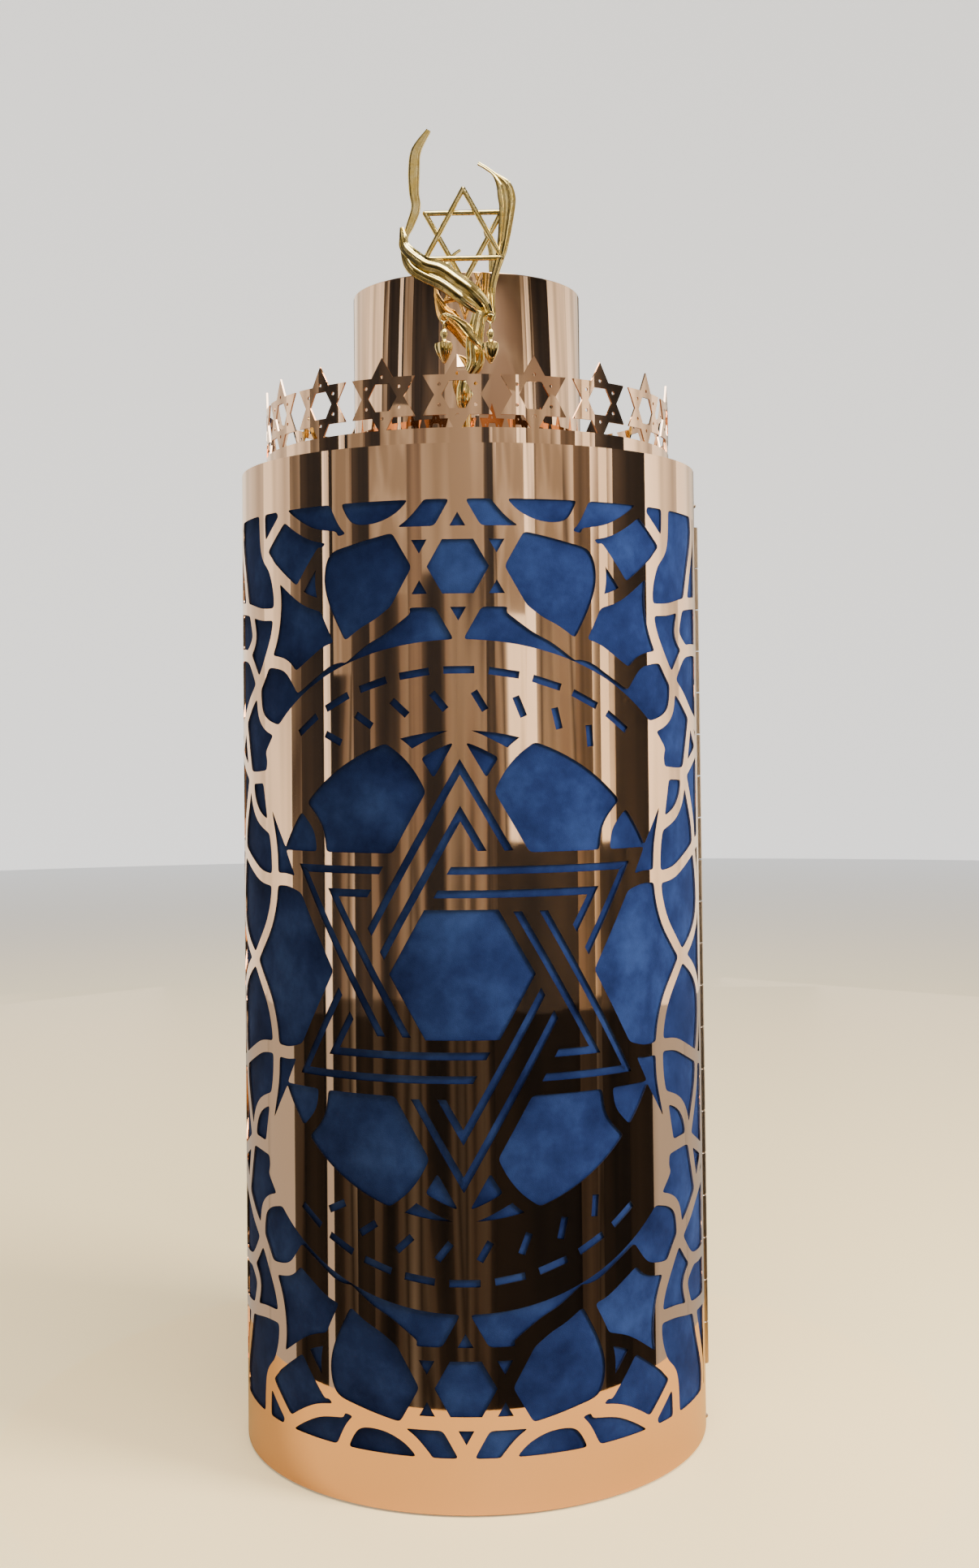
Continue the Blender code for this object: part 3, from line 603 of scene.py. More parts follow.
def turned(profile, steps=40, lobes=0, depth=0.0):
    """A closed body turned from (radius, height) pairs, both ends on the axis, with or without lobes."""
    build = bmesh.new()
    rings = []
    for radius, height in profile:
        if radius < 1e-6:
            rings.append([build.verts.new((0, 0, height))])
            continue
        ring = []
        for k in range(steps):
            turn = 2 * math.pi * k / steps
            reach = radius * (1 - depth * (0.5 + 0.5 * math.cos(lobes * turn)))
            ring.append(build.verts.new((*polar(reach, turn), height)))
        rings.append(ring)
    for low, high in zip(rings, rings[1:]):
        for k in range(steps):
            n = (k + 1) % steps
            if len(low) == 1:
                build.faces.new((low[0], high[n], high[k]))
            elif len(high) == 1:
                build.faces.new((low[k], low[n], high[0]))
            else:
                build.faces.new((low[k], low[n], high[n], high[k]))
    bmesh.ops.recalc_face_normals(build, faces=build.faces)
    mesh = bpy.data.meshes.new("turned")
    build.to_mesh(mesh)
    build.free()
    return mesh


def wire_ring(middle, radius, wire, normal_y, steps=28, sides=10):
    """A round ring of wire that faces along Y or along X."""
    build = bmesh.new()
    rings = []
    for k in range(steps):
        across, up = polar(1, 2 * math.pi * k / steps)
        ring = []
        for j in range(sides):
            out, side = polar(wire, 2 * math.pi * j / sides)
            a, z = across * (radius + out), up * (radius + out)
            spot = (a, side, z) if normal_y else (side, a, z)
            ring.append(build.verts.new(Vector(middle) + Vector(spot)))
        rings.append(ring)
    for low, high in zip(rings, rings[1:] + rings[:1]):
        for j in range(sides):
            build.faces.new((low[j], low[(j + 1) % sides], high[(j + 1) % sides], high[j]))
    bmesh.ops.recalc_face_normals(build, faces=build.faces)
    mesh = bpy.data.meshes.new("ring")
    build.to_mesh(mesh)
    build.free()
    return mesh


def sweep(path, sections, grooves=0, depth=0.16, sides=32, spans=8):
    """A closed tube through the path with a (width, thickness) at each point, and grooves along it."""
    points = smooth_path(path, spans)
    sizes = smooth_path(sections, spans)
    build = bmesh.new()
    rings = []
    for i, (here, size) in enumerate(zip(points, sizes)):
        along = (points[min(i + 1, len(points) - 1)] - points[max(i - 1, 0)]).normalized()
        across = Vector((0, 1, 0)).cross(along).normalized()
        inward = along.cross(across).normalized()
        ring = []
        for k in range(sides):
            turn = 2 * math.pi * k / sides
            groove = 1 - depth * (0.5 + 0.5 * math.cos(grooves * turn)) if grooves else 1
            flat = across * math.cos(turn) * size[0] / 2 + inward * math.sin(turn) * size[1] / 2
            ring.append(build.verts.new(here + flat * groove))
        rings.append(ring)
    for low, high in zip(rings, rings[1:]):
        for k in range(sides):
            build.faces.new((low[k], low[(k + 1) % sides], high[(k + 1) % sides], high[k]))
    build.faces.new(rings[0][::-1])
    build.faces.new(rings[-1])
    bmesh.ops.recalc_face_normals(build, faces=build.faces)
    mesh = bpy.data.meshes.new("swept")
    build.to_mesh(mesh)
    build.free()
    return mesh


def ball(radius, middle):
    build = bmesh.new()
    bmesh.ops.create_uvsphere(build, u_segments=BALL_SEGMENTS, v_segments=BALL_RINGS, radius=radius)
    bmesh.ops.translate(build, verts=build.verts, vec=middle)
    mesh = bpy.data.meshes.new("ball")
    build.to_mesh(mesh)
    build.free()
    return mesh


def joined(name, meshes):
    """One mesh of several bodies."""
    build = bmesh.new()
    for mesh in meshes:
        build.from_mesh(mesh)
        bpy.data.meshes.remove(mesh)
    made = bpy.data.meshes.new(name)
    build.to_mesh(made)
    build.free()
    return made


def block(low, high):
    build = bmesh.new()
    bmesh.ops.create_cube(build, size=1)
    bmesh.ops.scale(build, verts=build.verts, vec=[b - a for a, b in zip(low, high)])
    bmesh.ops.translate(build, verts=build.verts, vec=[(a + b) / 2 for a, b in zip(low, high)])
    mesh = bpy.data.meshes.new("block")
    build.to_mesh(mesh)
    build.free()
    return mesh


# Materials


def new_material(name, color, roughness, metallic=0.0):
    """(material, its nodes, its links, its shader)"""
    made = bpy.data.materials.new(name)
    made.use_nodes = True
    tree = made.node_tree
    shader = tree.nodes["Principled BSDF"]
    shader.inputs["Base Color"].default_value = (*color, 1)
    shader.inputs["Roughness"].default_value = roughness
    shader.inputs["Metallic"].default_value = metallic
    return made, tree.nodes, tree.links, shader


def noise(nodes, links, scale, detail, stretch=(1, 1, 1), rough=0.5):
    """A noise texture in object space."""
    where = nodes.new("ShaderNodeTexCoord")
    mapping = nodes.new("ShaderNodeMapping")
    mapping.inputs["Scale"].default_value = stretch
    texture = nodes.new("ShaderNodeTexNoise")
    texture.inputs["Scale"].default_value = scale
    texture.inputs["Detail"].default_value = detail
    texture.inputs["Roughness"].default_value = rough
    links.new(where.outputs["Object"], mapping.inputs["Vector"])
    links.new(mapping.outputs["Vector"], texture.inputs["Vector"])
    return texture.outputs["Fac"]


def ramp(nodes, links, value, stops):
    """Colours read from a value between 0 and 1."""
    node = nodes.new("ShaderNodeValToRGB")
    elements = node.color_ramp.elements
    while len(elements) < len(stops):
        elements.new(0.5)
    for element, (place, color) in zip(elements, stops):
        element.position = place
        element.color = (*color, 1)
    links.new(value, node.inputs["Fac"])
    return node.outputs["Color"]


def bump(nodes, links, shader, value, strength, distance):
    node = nodes.new("ShaderNodeBump")
    node.inputs["Strength"].default_value = strength
    node.inputs["Distance"].default_value = distance
    links.new(value, node.inputs["Height"])
    links.new(node.outputs["Normal"], shader.inputs["Normal"])


def mirror_metal():
    """Polished rose gold sheet: faint waves from rolling, faint wiping marks."""
    made, nodes, links, shader = new_material("rose_gold_mirror", (0.94, 0.64, 0.43), 0.05, 1.0)
    tint = noise(nodes, links, 6, 3, (1, 1, 0.4))
    color = ramp(nodes, links, tint, ((0.3, (0.93, 0.625, 0.41)), (0.7, (0.96, 0.665, 0.455))))
    links.new(color, shader.inputs["Base Color"])
    wipes = noise(nodes, links, 40, 4, (1, 1, 0.15), 0.6)
    gloss = ramp(nodes, links, wipes, ((0.35, (0.015,) * 3), (0.75, (0.05,) * 3)))
    links.new(gloss, shader.inputs["Roughness"])
    waves = noise(nodes, links, 9, 2, (1, 1, 0.25))
    bump(nodes, links, shader, waves, 0.12, 0.002)
    return made


def velvet_cloth():
    """Dark blue velvet whose colour is painted lighter and darker in soft patches, a painted sheen of the
    brushed nap over the cloth's own dark blue.
    """
    made, nodes, links, shader = new_material("blue_velvet", (0.02, 0.07, 0.2), 0.85)
    nap_sheen_patches = noise(nodes, links, 22, 5, (1, 1, 1), 0.62)
    # painted sheen: the lighter patches of this colour stand for light caught by the brushed nap
    color = ramp(nodes, links, nap_sheen_patches, (
        (0.30, (0.004, 0.008, 0.036)), (0.5, (0.009, 0.018, 0.070)), (0.72, (0.019, 0.038, 0.125)),
    ))
    links.new(color, shader.inputs["Base Color"])
    shader.inputs["Sheen Weight"].default_value = 0.05
    shader.inputs["Sheen Roughness"].default_value = 0.4
    shader.inputs["Sheen Tint"].default_value = (0.35, 0.48, 0.95, 1)
    shader.inputs["Specular IOR Level"].default_value = 0.03
    nap = noise(nodes, links, 1600, 2, (1, 1, 1), 0.7)
    bump(nodes, links, shader, nap, 0.35, 0.0004)
    return made


def gold_metal():
    made, nodes, links, shader = new_material("polished_gold", (0.95, 0.72, 0.24), 0.12, 1.0)
    worn = noise(nodes, links, 160, 4)
    color = ramp(nodes, links, worn, ((0.35, (0.86, 0.66, 0.20)), (0.65, (0.97, 0.83, 0.40))))
    links.new(color, shader.inputs["Base Color"])
    gloss = ramp(nodes, links, worn, ((0.3, (0.04,) * 3), (0.8, (0.13,) * 3)))
    links.new(gloss, shader.inputs["Roughness"])
    cast = noise(nodes, links, 420, 3)
    bump(nodes, links, shader, cast, 0.2, 0.0006)
    return made


def hinge_metal():
    made, nodes, links, shader = new_material("hinge_brass", (0.62, 0.50, 0.38), 0.3, 1.0)
    drawn = noise(nodes, links, 90, 3, (6, 6, 0.5))
    color = ramp(nodes, links, drawn, ((0.3, (0.50, 0.39, 0.29)), (0.7, (0.72, 0.59, 0.46))))
    links.new(color, shader.inputs["Base Color"])
    bump(nodes, links, shader, drawn, 0.15, 0.0004)
    return made


def case_wood():
    made, nodes, links, shader = new_material("case_wood", (0.24, 0.13, 0.07), 0.38)
    grain = noise(nodes, links, 30, 5, (4, 4, 0.35), 0.6)
    color = ramp(nodes, links, grain, ((0.3, (0.11, 0.055, 0.028)), (0.7, (0.27, 0.15, 0.08))))
    links.new(color, shader.inputs["Base Color"])
    bump(nodes, links, shader, grain, 0.25, 0.0008)
    return made


# Pieces


def add_piece(name, mesh, finishes, slot, front, replaced, smooth_angle=None):
    """A visible piece in place of its solid. A rear piece is drawn as a front one and turned."""
    if not front:
        mesh.transform(Matrix.Rotation(HALF_TURN, 4, "Z"))
    mesh.name = name
    piece = bpy.data.objects.new(name, mesh)
    bpy.context.scene.collection.objects.link(piece)
    mesh.materials.clear()
    mesh.materials.append(finishes[slot])
    if smooth_angle is not None:
        mesh.shade_smooth()
        mesh.set_sharp_from_angle(angle=math.radians(smooth_angle))
    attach(piece, "front" if front else "rear")
    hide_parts(*replaced)
    return piece


def wall_profile():
    """Section of the shell: wall, floor and top plate round an empty inside."""
    return (
        (SHELL_OUTER, 0), (SHELL_OUTER, TOP_PLANE), (ON_AXIS, TOP_PLANE), (ON_AXIS, TOP_PLANE - TOP_PLATE),
        (SHELL_INNER, TOP_PLANE - TOP_PLATE), (SHELL_INNER, FLOOR), (ON_AXIS, FLOOR), (ON_AXIS, 0),
    )


def half_span(radius):
    """Angles of a front half, short of the seam by half its gap."""
    short = math.asin(SEAM_GAP / 2 / radius)
    return -math.pi + short, -short


def add_case(front, finishes):
    side = "front" if front else "rear"
    shell = revolve(wall_profile(), *half_span(SHELL_OUTER), SHELL_STEPS)
    add_piece(side + "_wall_and_plates", shell, finishes, "case_wood", front, [side + "_shell"], 35)
    cloth = revolve(
        ((VELVET_OUTER - VELVET, SHEET_FOOT), (VELVET_OUTER, SHEET_FOOT),
         (VELVET_OUTER, TOP_PLANE), (VELVET_OUTER - VELVET, TOP_PLANE)),
        *half_span(VELVET_OUTER), VELVET_STEPS,
    )
    add_piece(side + "_velvet_cover", cloth, finishes, "blue_velvet", front, [side + "_velvet"], 35)
    sheet = lattice_mesh(front)
    add_piece(side + "_cut_sheet", sheet, finishes, "rose_gold_mirror", front, [side + "_fretwork"])


def add_top(front, finishes):
    side = "front" if front else "rear"
    strip = crown_mesh()
    add_piece(side + "_crown_strip", strip, finishes, "rose_gold_mirror", front, [side + "_star_crown"])
    foot, top, edge = TOP_PLANE + REST_GAP, TURRET_TOP, TURRET_EDGE
    part_edge = edge * TURRET_EDGE_SHARE
    inner = TURRET_RADIUS - TURRET_WALL
    drum = revolve(
        ((TURRET_RADIUS, foot), (TURRET_RADIUS, top - edge), (TURRET_RADIUS - part_edge, top - part_edge),
         (TURRET_RADIUS - edge, top), (ON_AXIS, top), (ON_AXIS, top - TURRET_WALL),
         (inner, top - TURRET_WALL), (inner, foot)),
        *half_span(TURRET_RADIUS), TURRET_STEPS,
    )
    add_piece(side + "_turret_drum", drum, finishes, "rose_gold_mirror", front, [side + "_turret"], 30)


def add_hinge(front, finishes):
    """A leaf in the seam with every second knuckle. The front one has the screws near its ends."""
    side = "front" if front else "rear"
    away = -1 if front else 1
    near, far = sorted((away * REST_GAP / 2, away * (LEAF + REST_GAP / 2)))
    foot, top = LEAF_LOW.z, LEAF_HIGH.z
    reach = HINGE_X - BARREL_RADIUS - KNUCKLE_GAP
    bodies = [block((LEAF_LOW.x, near, foot), (reach, far, top))]
    count = round((top - foot) / KNUCKLE_PITCH)
    pitch = (top - foot) / count
    for i in range(count):
        if (i % 2 == 0) != front:
            continue
        low, high = foot + i * pitch + KNUCKLE_GAP / 2, foot + (i + 1) * pitch - KNUCKLE_GAP / 2
        barrel = turned((
            (0, low), (BARREL_RADIUS - KNUCKLE_CHAMFER, low), (BARREL_RADIUS, low + KNUCKLE_CHAMFER),
            (BARREL_RADIUS, high - KNUCKLE_CHAMFER), (BARREL_RADIUS - KNUCKLE_CHAMFER, high), (0, high),
        ), BARREL_STEPS)
        barrel.transform(Matrix.Translation((HINGE_X, 0, 0)))
        bodies.append(barrel)
        bodies.append(block((reach - LEAF, near, low), (HINGE_X - BARREL_RADIUS / 2, far, high)))
    if front:
        for height in SCREW_HEIGHTS:
            x, y = CASE_RADIUS * math.sin(SCREW_ANGLE), -CASE_RADIUS * math.cos(SCREW_ANGLE)
            bodies.append(ball(SCREW_HEAD, (x, y, max(height, SCREW_HEAD + SHEET_FOOT))))
    mesh = joined("hinge", bodies)
    if not front:
        mesh.transform(Matrix.Rotation(-HALF_TURN, 4, "Z"))
    add_piece(side + "_hinge_half", mesh, finishes, "hinge_brass", front, [side + "_hinge_leaf"], 35)


# Turned profiles run from the foot up. Limbs have (width, thickness) at each point of their middle line
STEM = (
    (0, 0), (0.0082, 0), (0.0090, 0.0008), (0.0090, 0.0026), (0.0070, 0.0036), (0.0045, 0.006),
    (0.0034, 0.010), (0.0031, 0.018), (0.0032, 0.027), (0.0040, 0.0315), (0.0056, 0.0345),
    (0.0062, 0.039), (0.0060, 0.0455), (0.0045, 0.050), (0.0036, 0.054), (0, 0.0555),
)

STALK = (
    ((0.001, 0, 0.046), (0.006, 0.006)), ((0.003, 0, 0.053), (0.0075, 0.007)),
    ((0.0085, -0.001, 0.063), (0.0125, 0.008)), ((0.0085, -0.003, 0.078), (0.0125, 0.008)),
    ((0.012, -0.006, 0.096), (0.010, 0.007)),
)

UPPER_BAND = (
    ((-0.0406, -0.002, 0.155), (0.003, 0.003)), ((-0.0395, -0.003, 0.148), (0.006, 0.005)),
    ((-0.0375, -0.004, 0.140), (0.009, 0.006)), ((-0.0255, -0.008, 0.1293), (0.0105, 0.0065)),
    ((-0.0145, -0.010, 0.1251), (0.0105, 0.0065)), ((-0.0035, -0.0115, 0.1172), (0.0105, 0.0065)),
    ((0.0065, -0.0105, 0.1096), (0.0105, 0.0065)), ((0.0145, -0.007, 0.1016), (0.009, 0.006)),
    ((0.0185, -0.003, 0.0935), (0.006, 0.005)),
)

LOWER_BAND = (
    ((-0.0385, -0.003, 0.139), (0.007, 0.005)), ((-0.0345, -0.005, 0.1285), (0.010, 0.006)),
    ((-0.0260, -0.007, 0.1218), (0.0105, 0.006)), ((-0.0130, -0.010, 0.1147), (0.0110, 0.006)),
    ((-0.0025, -0.011, 0.1066), (0.010, 0.006)), ((0.0050, -0.009, 0.1010), (0.009, 0.006)),
    ((0.0140, -0.005, 0.0950), (0.006, 0.005)),
)

HORN = (
    ((-0.0378, -0.003, 0.143), (0.004, 0.004)), ((-0.0378, -0.002, 0.1492), (0.0045, 0.004)),
    ((-0.0348, -0.001, 0.157), (0.0063, 0.0045)), ((-0.0310, 0, 0.169), (0.0076, 0.0055)),
    ((-0.0321, 0, 0.179), (0.0082, 0.006)), ((-0.0321, 0, 0.193), (0.0095, 0.006)),
    ((-0.0305, 0, 0.2075), (0.0082, 0.005)), ((-0.0219, 0, 0.2215), (0.0040, 0.0032)),
)

WING = (
    ((0.0180, -0.003, 0.091), (0.006, 0.006)), ((0.0197, -0.001, 0.0952), (0.0055, 0.0055)),
    ((0.0191, 0, 0.1028), (0.0057, 0.0055)), ((0.0203, 0, 0.1157), (0.0050, 0.0055)),
    ((0.0238, 0, 0.1286), (0.0057, 0.0055)), ((0.0267, 0, 0.1388), (0.0076, 0.006)),
    ((0.0288, 0, 0.1517), (0.0095, 0.006)), ((0.0306, 0, 0.1673), (0.0117, 0.006)),
    ((0.0304, 0, 0.175), (0.013, 0.006)), ((0.0283, 0, 0.1828), (0.0108, 0.0055)),
    ((0.0223, 0, 0.1905), (0.0032, 0.003)), ((0.0170, 0, 0.1948), (0.0025, 0.0025)),
    ((0.0114, 0, 0.1983), (0.0025, 0.0025)),
)

TENDRIL = (
    ((-0.0115, -0.0130, 0.0932), (0.0030, 0.0030)), ((-0.0040, -0.0095, 0.0900), (0.0045, 0.004)),
    ((0.0029, -0.0065, 0.0845), (0.007, 0.0045)), ((0.0088, -0.0055, 0.0766), (0.006, 0.0045)),
    ((0.0158, -0.002, 0.0687), (0.0022, 0.0022)),
)

RIGHT_LOOP = (
    ((0.0180, -0.003, 0.0945), (0.005, 0.005)), ((0.0190, -0.012, 0.0935), (0.0034, 0.0034)),
    ((0.0190, -0.0175, 0.0912), (0.0030, 0.0030)),
)

# Each limb with the number and depth of the grooves along it
LIMBS = (
    (STALK, 5, 0.22), (UPPER_BAND, 6, 0.30), (LOWER_BAND, 6, 0.30), (HORN, 4, 0.22), (WING, 8, 0.26),
    (TENDRIL, 0, 0), (RIGHT_LOOP, 0, 0),
)

BELL = (
    (0, 0), (0.0011, 0.0004), (0.0016, 0.0012), (0.0022, 0.0024), (0.0030, 0.0032), (0.0042, 0.0055),
    (0.0049, 0.0068), (0.0060, 0.0095), (0.0064, 0.0118), (0.0061, 0.0134), (0.0046, 0.0142),
    (0.0022, 0.0150), (0.0014, 0.0162), (0.0017, 0.0178), (0.0026, 0.0192), (0.0026, 0.0205),
    (0.0020, 0.0222), (0.0009, 0.0234), (0, 0.0235),
)


def wire_star():
    """Two crossed triangles of round wire."""
    wires = []
    side, height = FINIAL_STAR_MIDDLE
    size = Vector((2 * FINIAL_WIRE, 2 * FINIAL_WIRE))
    for flip in (0, 1):
        corners = []
        for k in range(3):
            x, z = polar(FINIAL_STAR_RADIUS, math.radians(90 + 180 * flip + 120 * k))
            corners.append(Vector((x * FINIAL_STAR_SQUEEZE + side, (flip - 0.5) * FINIAL_WIRE, z + height)))
        for k in range(3):
            wires.append(sweep((corners[k], corners[(k + 1) % 3]), (size, size), sides=16, spans=1))
            wires.append(ball(FINIAL_WIRE, corners[k]))
    return wires


def add_finial(front, finishes):
    side = "front" if front else "rear"
    place = Matrix.Translation((FINIAL_SIDE, -FINIAL_PLACE, TOP_PLANE + REST_GAP))
    if not front:
        place = place @ Matrix.Rotation(REAR_FINIAL_YAW, 4, "Z")
    stem = turned(STEM)
    stem.transform(Matrix.Translation((FINIAL_STEM_SIDE, 0, 0)))
    bodies = [stem]
    for form, grooves, depth in LIMBS:
        path, sections = zip(*form)
        bodies.append(sweep(path, [Vector(s) for s in sections], grooves, depth))
    rings = [wire_ring(middle, BELL_RING_RADIUS, RING_WIRE, True) for middle in BELL_RINGS]
    mesh = joined("finial", bodies + rings + wire_star())
    mesh.transform(place)
    add_piece(side + "_finial_cast", mesh, finishes, "polished_gold", front, [side + "_finial"], 50)
    for word, spot in (("left", LEFT_BELL), ("right", RIGHT_BELL)):
        bud = turned(BELL, BELL_STEPS, BELL_LOBES, BELL_LOBE_DEPTH)
        loop = wire_ring((0, 0, BELL[-1][1] + BELL_LOOP_RADIUS), BELL_LOOP_RADIUS, RING_WIRE, False)
        bell = joined("bell", [bud, loop])
        bell.transform(place @ Matrix.Translation((spot[0], spot[1], spot[2] - BELL[-1][1])))
        node = f"{side}_bell_{word}"
        add_piece(f"{side}_little_bell_{word}", bell, finishes, "polished_gold", front, [node], 40)


# Studio


def stage_plane(name, size, location, rotation, finish):
    build = bmesh.new()
    bmesh.ops.create_grid(build, x_segments=1, y_segments=1, size=0.5)
    mesh = bpy.data.meshes.new(name)
    build.to_mesh(mesh)
    build.free()
    plane = bpy.data.objects.new(name, mesh)
    bpy.context.scene.collection.objects.link(plane)
    plane.scale = (size[0], size[1], 1)
    plane.location = location
    plane.rotation_euler = rotation
    mesh.materials.append(finish)
    return plane


def plain(name, color, roughness=0.7):
    made, _, _, _ = new_material(name, color, roughness)
    return made


def seen_in_reflections_only(thing):
    thing.visible_camera = False
    thing.visible_diffuse = False
    thing.visible_shadow = False
    thing.visible_transmission = False


def glow(finish, color, strength):
    shader = finish.node_tree.nodes["Principled BSDF"]
    shader.inputs["Emission Color"].default_value = (*color, 1)
    shader.inputs["Emission Strength"].default_value = strength
    return finish


def tube(radius, low, high):
    """An open tube that stands round the case."""
    build = bmesh.new()
    sizes = {"radius1": radius, "radius2": radius, "depth": high - low}
    bmesh.ops.create_cone(build, cap_ends=False, segments=STUDIO_SEGMENTS, **sizes)
    bmesh.ops.translate(build, verts=build.verts, vec=(0, 0, (low + high) / 2))
    return build


def stage_mesh(name, build, finish):
    """Part of the studio, as an object of its own."""
    mesh = bpy.data.meshes.new(name)
    build.to_mesh(mesh)
    build.free()
    mesh.materials.append(finish)
    thing = bpy.data.objects.new(name, mesh)
    bpy.context.scene.collection.objects.link(thing)
    return thing


def streaked(name, stops):
    """A matt surface in soft upright streaks."""
    made, nodes, links, shader = new_material(name, stops[0][1], 0.8)
    streaks = noise(nodes, links, 1.3, 2, (1, 1, 0.2), 0.5)
    links.new(ramp(nodes, links, streaks, stops), shader.inputs["Base Color"])
    return made


# What reflections show round the case: streaks from dark to pale
DARK = (0.006, 0.007, 0.011)
UMBER = (0.040, 0.034, 0.032)
BROWN = (0.12, 0.098, 0.085)
TAN = (0.15, 0.133, 0.117)
BEIGE = (0.24, 0.22, 0.20)
PALE = (0.74, 0.71, 0.67)
ROOM_STREAKS = (
    (0.40, DARK), (0.445, UMBER), (0.47, BROWN), (0.51, TAN), (0.55, UMBER), (0.60, BEIGE), (0.66, PALE),
)
ROOM_RADIUS = 2.3
ROOM_LOW, ROOM_HIGH = -1.6, 2.7

# Cards round the case that only reflections show: (direction from the front, width, low, high, shade),
# both angles in degrees
CARDS = (
    (-79, 13, -1.5, 2.4, "dark"), (-69, 4, -1.5, 2.4, "pale"), (-60, 10, 0.6, 2.4, "beige"),
    (-49.5, 9, -1.5, 2.4, "dark"), (-35.5, 18, 0.74, 1.08, "beige"), (-36, 18, 1.08, 2.4, "dark"),
    (-23, 6, 0.3, 2.1, "brown"), (-5, 29, 0.78, 2.4, "beige"), (12, 4, 0.1, 1.3, "dark"),
    (22, 13, 0.70, 1.1, "beige"), (31, 5, 0.45, 1.15, "pale"), (41, 13, 0.72, 1.1, "beige"),
    (38, 54, 1.1, 2.4, "curtain"), (34, 44, -1.5, 0.30, "dark"), (57.5, 9, -1.5, 1.2, "brown"),
    (69, 5, 0.3, 2.4, "pale"), (73, 16, -1.5, 0.30, "dark"), (86, 22, -1.5, 2.4, "dark"),
    (112, 30, -1.5, 2.4, "pale"), (148, 44, -1.5, 2.4, "pale"), (-105, 24, -1.5, 2.4, "pale"),
    (-139, 46, -1.5, 2.4, "pale"), (180, 30, -1.5, 2.4, "brown"),
)
CARD_DISTANCE = 2.1
CARD_STEP = 0.02
STUDIO_SEGMENTS = 96
FLOOR_SIZE = 14
BACKDROP_RADIUS = 5.5
BACKDROP_HEIGHT = 7.0
BACKDROP = (0.80, 0.79, 0.775)
BACKDROP_GLOW = 1.2
PALE_CARD_GLOW = 0.3
FLOOR_GLOW = (0.38, 0.32, 0.21)
FAR_FLOOR_GLOW = (0.74, 0.78, 0.84)
NEAR_FLOOR_RADIUS = 0.34
NEAR_FLOOR_LIFT = 0.0002


def glowing_floor():
    """A warm pale floor with painted light: it glows, less near the case and more away from it, so that it
    fades into the backdrop.
    """
    made, nodes, links, shader = new_material("pale_floor", (0.97, 0.75, 0.38), 0.55)
    where = nodes.new("ShaderNodeTexCoord")
    distance = nodes.new("ShaderNodeVectorMath")
    distance.operation = "LENGTH"
    links.new(where.outputs["Object"], distance.inputs[0])
    # painted light: the floor's glow runs from FLOOR_GLOW near the case to the brighter FAR_FLOOR_GLOW
    # farther out
    fade = ramp(nodes, links, distance.outputs["Value"], ((0.04, FLOOR_GLOW), (0.38, FAR_FLOOR_GLOW)))
    links.new(fade, shader.inputs["Emission Color"])
    shader.inputs["Emission Strength"].default_value = 1.0
    return made


def build_studio():
    ground = stage_plane("studio_floor", (FLOOR_SIZE, FLOOR_SIZE), (0, 0, 0), (0, 0, 0), glowing_floor())
    ground.visible_glossy = False
    back = glow(plain("pale_backdrop", BACKDROP, 0.9), BACKDROP, BACKDROP_GLOW)
    backdrop = stage_mesh("studio_backdrop", tube(BACKDROP_RADIUS, 0, BACKDROP_HEIGHT), back)
    for kind in ("glossy", "diffuse", "shadow"):
        setattr(backdrop, "visible_" + kind, False)
    disc = bmesh.new()
    bmesh.ops.create_circle(disc, cap_ends=True, segments=STUDIO_SEGMENTS, radius=NEAR_FLOOR_RADIUS)
    bmesh.ops.translate(disc, verts=disc.verts, vec=(0, 0, NEAR_FLOOR_LIFT))
    near_floor = plain("near_floor", (0.62, 0.38, 0.13))
    seen_in_reflections_only(stage_mesh("studio_near_floor", disc, near_floor))
    shades = {
        "dark": streaked("dark_card", ((0.4, DARK), (0.7, UMBER))),
        "brown": streaked("brown_card", ((0.36, UMBER), (0.64, BROWN))),
        "curtain": streaked("curtain_card", ((0.42, BROWN), (0.50, TAN), (0.58, BROWN))),
        "beige": streaked("beige_card", ((0.40, TAN), (0.50, BEIGE), (0.60, TAN))),
        "pale": glow(streaked("pale_card", ((0.34, BEIGE), (0.5, PALE))), PALE, PALE_CARD_GLOW),
    }
    room = tube(ROOM_RADIUS, ROOM_LOW, ROOM_HIGH)
    seen_in_reflections_only(stage_mesh("studio_surround", room, streaked("room_streaks", ROOM_STREAKS)))
    for i, (degrees, degrees_wide, low, high, shade) in enumerate(CARDS):
        angle = math.radians(degrees)
        distance = CARD_DISTANCE + CARD_STEP * (i % 3)
        width = 2 * distance * math.tan(math.radians(degrees_wide) / 2)
        place = (distance * math.sin(angle), -distance * math.cos(angle), (low + high) / 2)
        turn = (math.pi / 2, 0, angle)
        card = stage_plane(f"studio_card_{i}", (width, high - low), place, turn, shades[shade])
        seen_in_reflections_only(card)


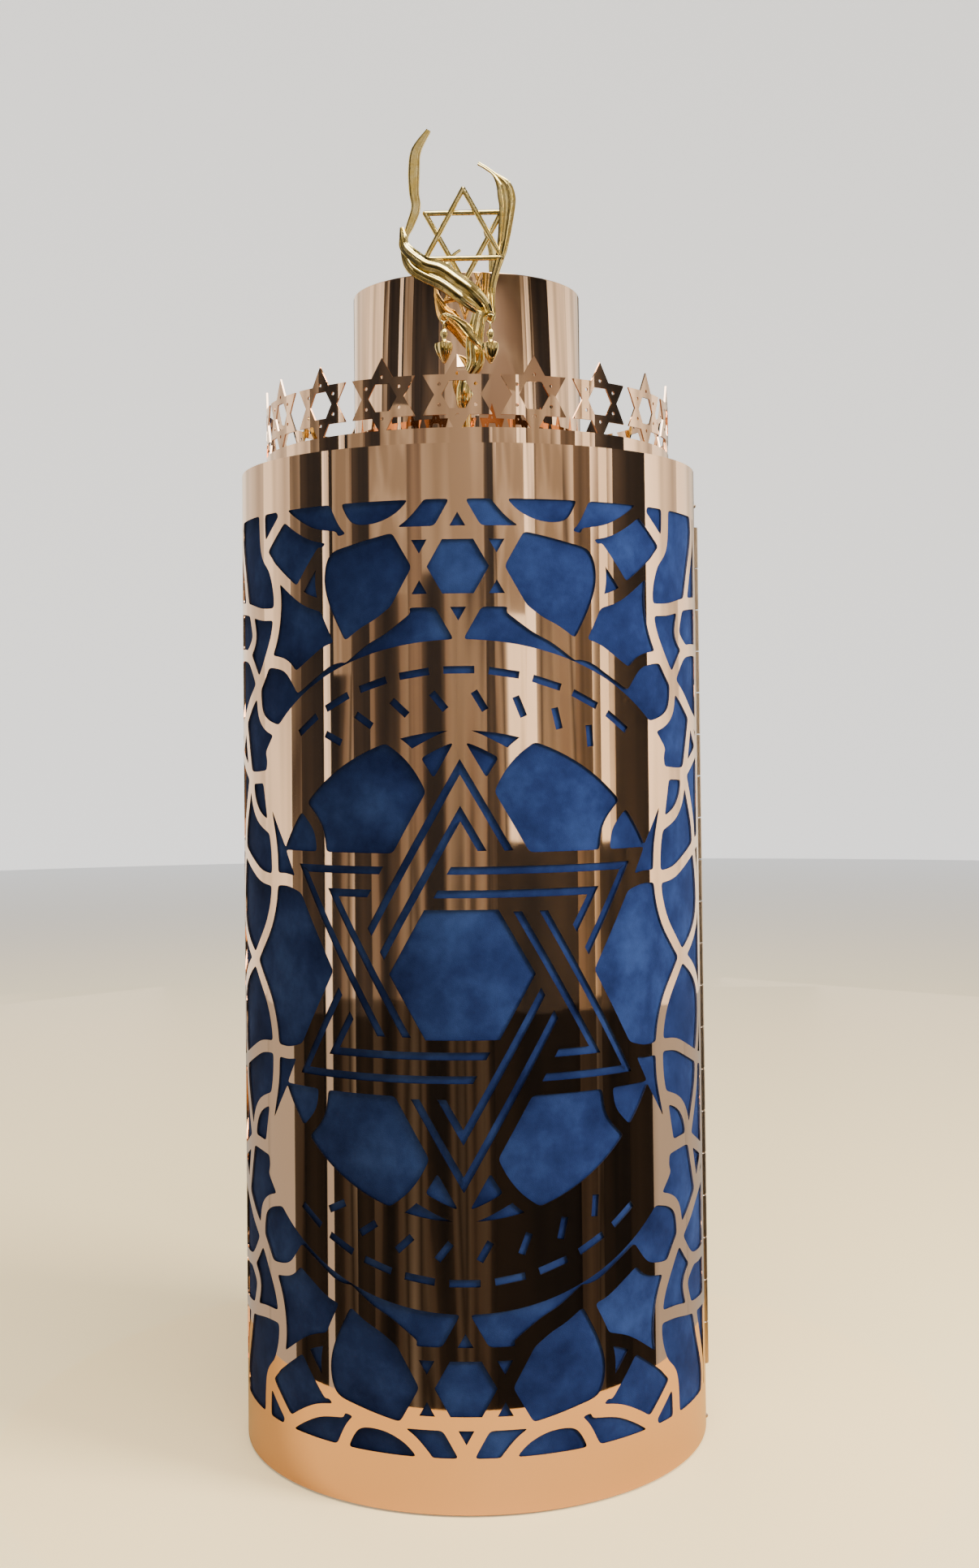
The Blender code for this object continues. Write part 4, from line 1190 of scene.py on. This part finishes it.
def add_light(name, energy, size, location, target, color=(1, 1, 1), mirrored=False):
    lamp = bpy.data.lights.new(name, "AREA")
    lamp.energy = energy
    lamp.shape = "RECTANGLE"
    lamp.size, lamp.size_y = size
    lamp.color = color
    thing = bpy.data.objects.new(name, lamp)
    bpy.context.scene.collection.objects.link(thing)
    thing.location = location
    thing.rotation_euler = (Vector(target) - Vector(location)).to_track_quat("-Z", "Y").to_euler()
    thing.visible_glossy = mirrored
    thing.visible_camera = False


def build_lights():
    world = bpy.data.worlds.new("studio_world")
    bpy.context.scene.world = world
    world.use_nodes = True
    background = world.node_tree.nodes["Background"]
    background.inputs["Color"].default_value = (1.0, 0.97, 0.93, 1)
    background.inputs["Strength"].default_value = 0.2
    add_light("key", 115, (0.8, 0.8), (2.0, -0.95, 1.3), (0, 0, 0.4), (1.0, 0.97, 0.93))
    add_light("back", 30, (1.6, 1.0), (-0.6, 1.9, 2.2), (0, 0, 0.5))
    add_light("floor_wash", 76, (1.6, 1.6), (0.3, -0.9, 2.3), (0.2, -0.9, 0), (1.0, 0.97, 0.92), True)


def build_camera():
    camera_data = bpy.data.cameras.new("photo_camera")
    camera = bpy.data.objects.new("photo_camera", camera_data)
    bpy.context.scene.collection.objects.link(camera)
    camera_data.lens = CAMERA_LENS
    camera_data.sensor_width = 36
    camera_data.shift_y = CAMERA_SHIFT
    camera.location = (
        CAMERA_DISTANCE * math.sin(CAMERA_SIDE_ANGLE), -CAMERA_DISTANCE * math.cos(CAMERA_SIDE_ANGLE),
        CAMERA_HEIGHT,
    )
    turn = Matrix.Rotation(CAMERA_YAW, 4, "Z")
    tilt = Matrix.Rotation(math.pi / 2 + CAMERA_PITCH, 4, "X")
    roll = Matrix.Rotation(CAMERA_ROLL, 4, "Z")
    camera.rotation_euler = (turn @ tilt @ roll).to_euler()
    bpy.context.scene.camera = camera


def main():
    build_camera()
    finishes = {
        "rose_gold_mirror": mirror_metal(),
        "blue_velvet": velvet_cloth(),
        "polished_gold": gold_metal(),
        "hinge_brass": hinge_metal(),
        "case_wood": case_wood(),
    }
    for front in (False, True):
        add_case(front, finishes)
        add_top(front, finishes)
        add_hinge(front, finishes)
        add_finial(front, finishes)
    build_studio()
    build_lights()


main()
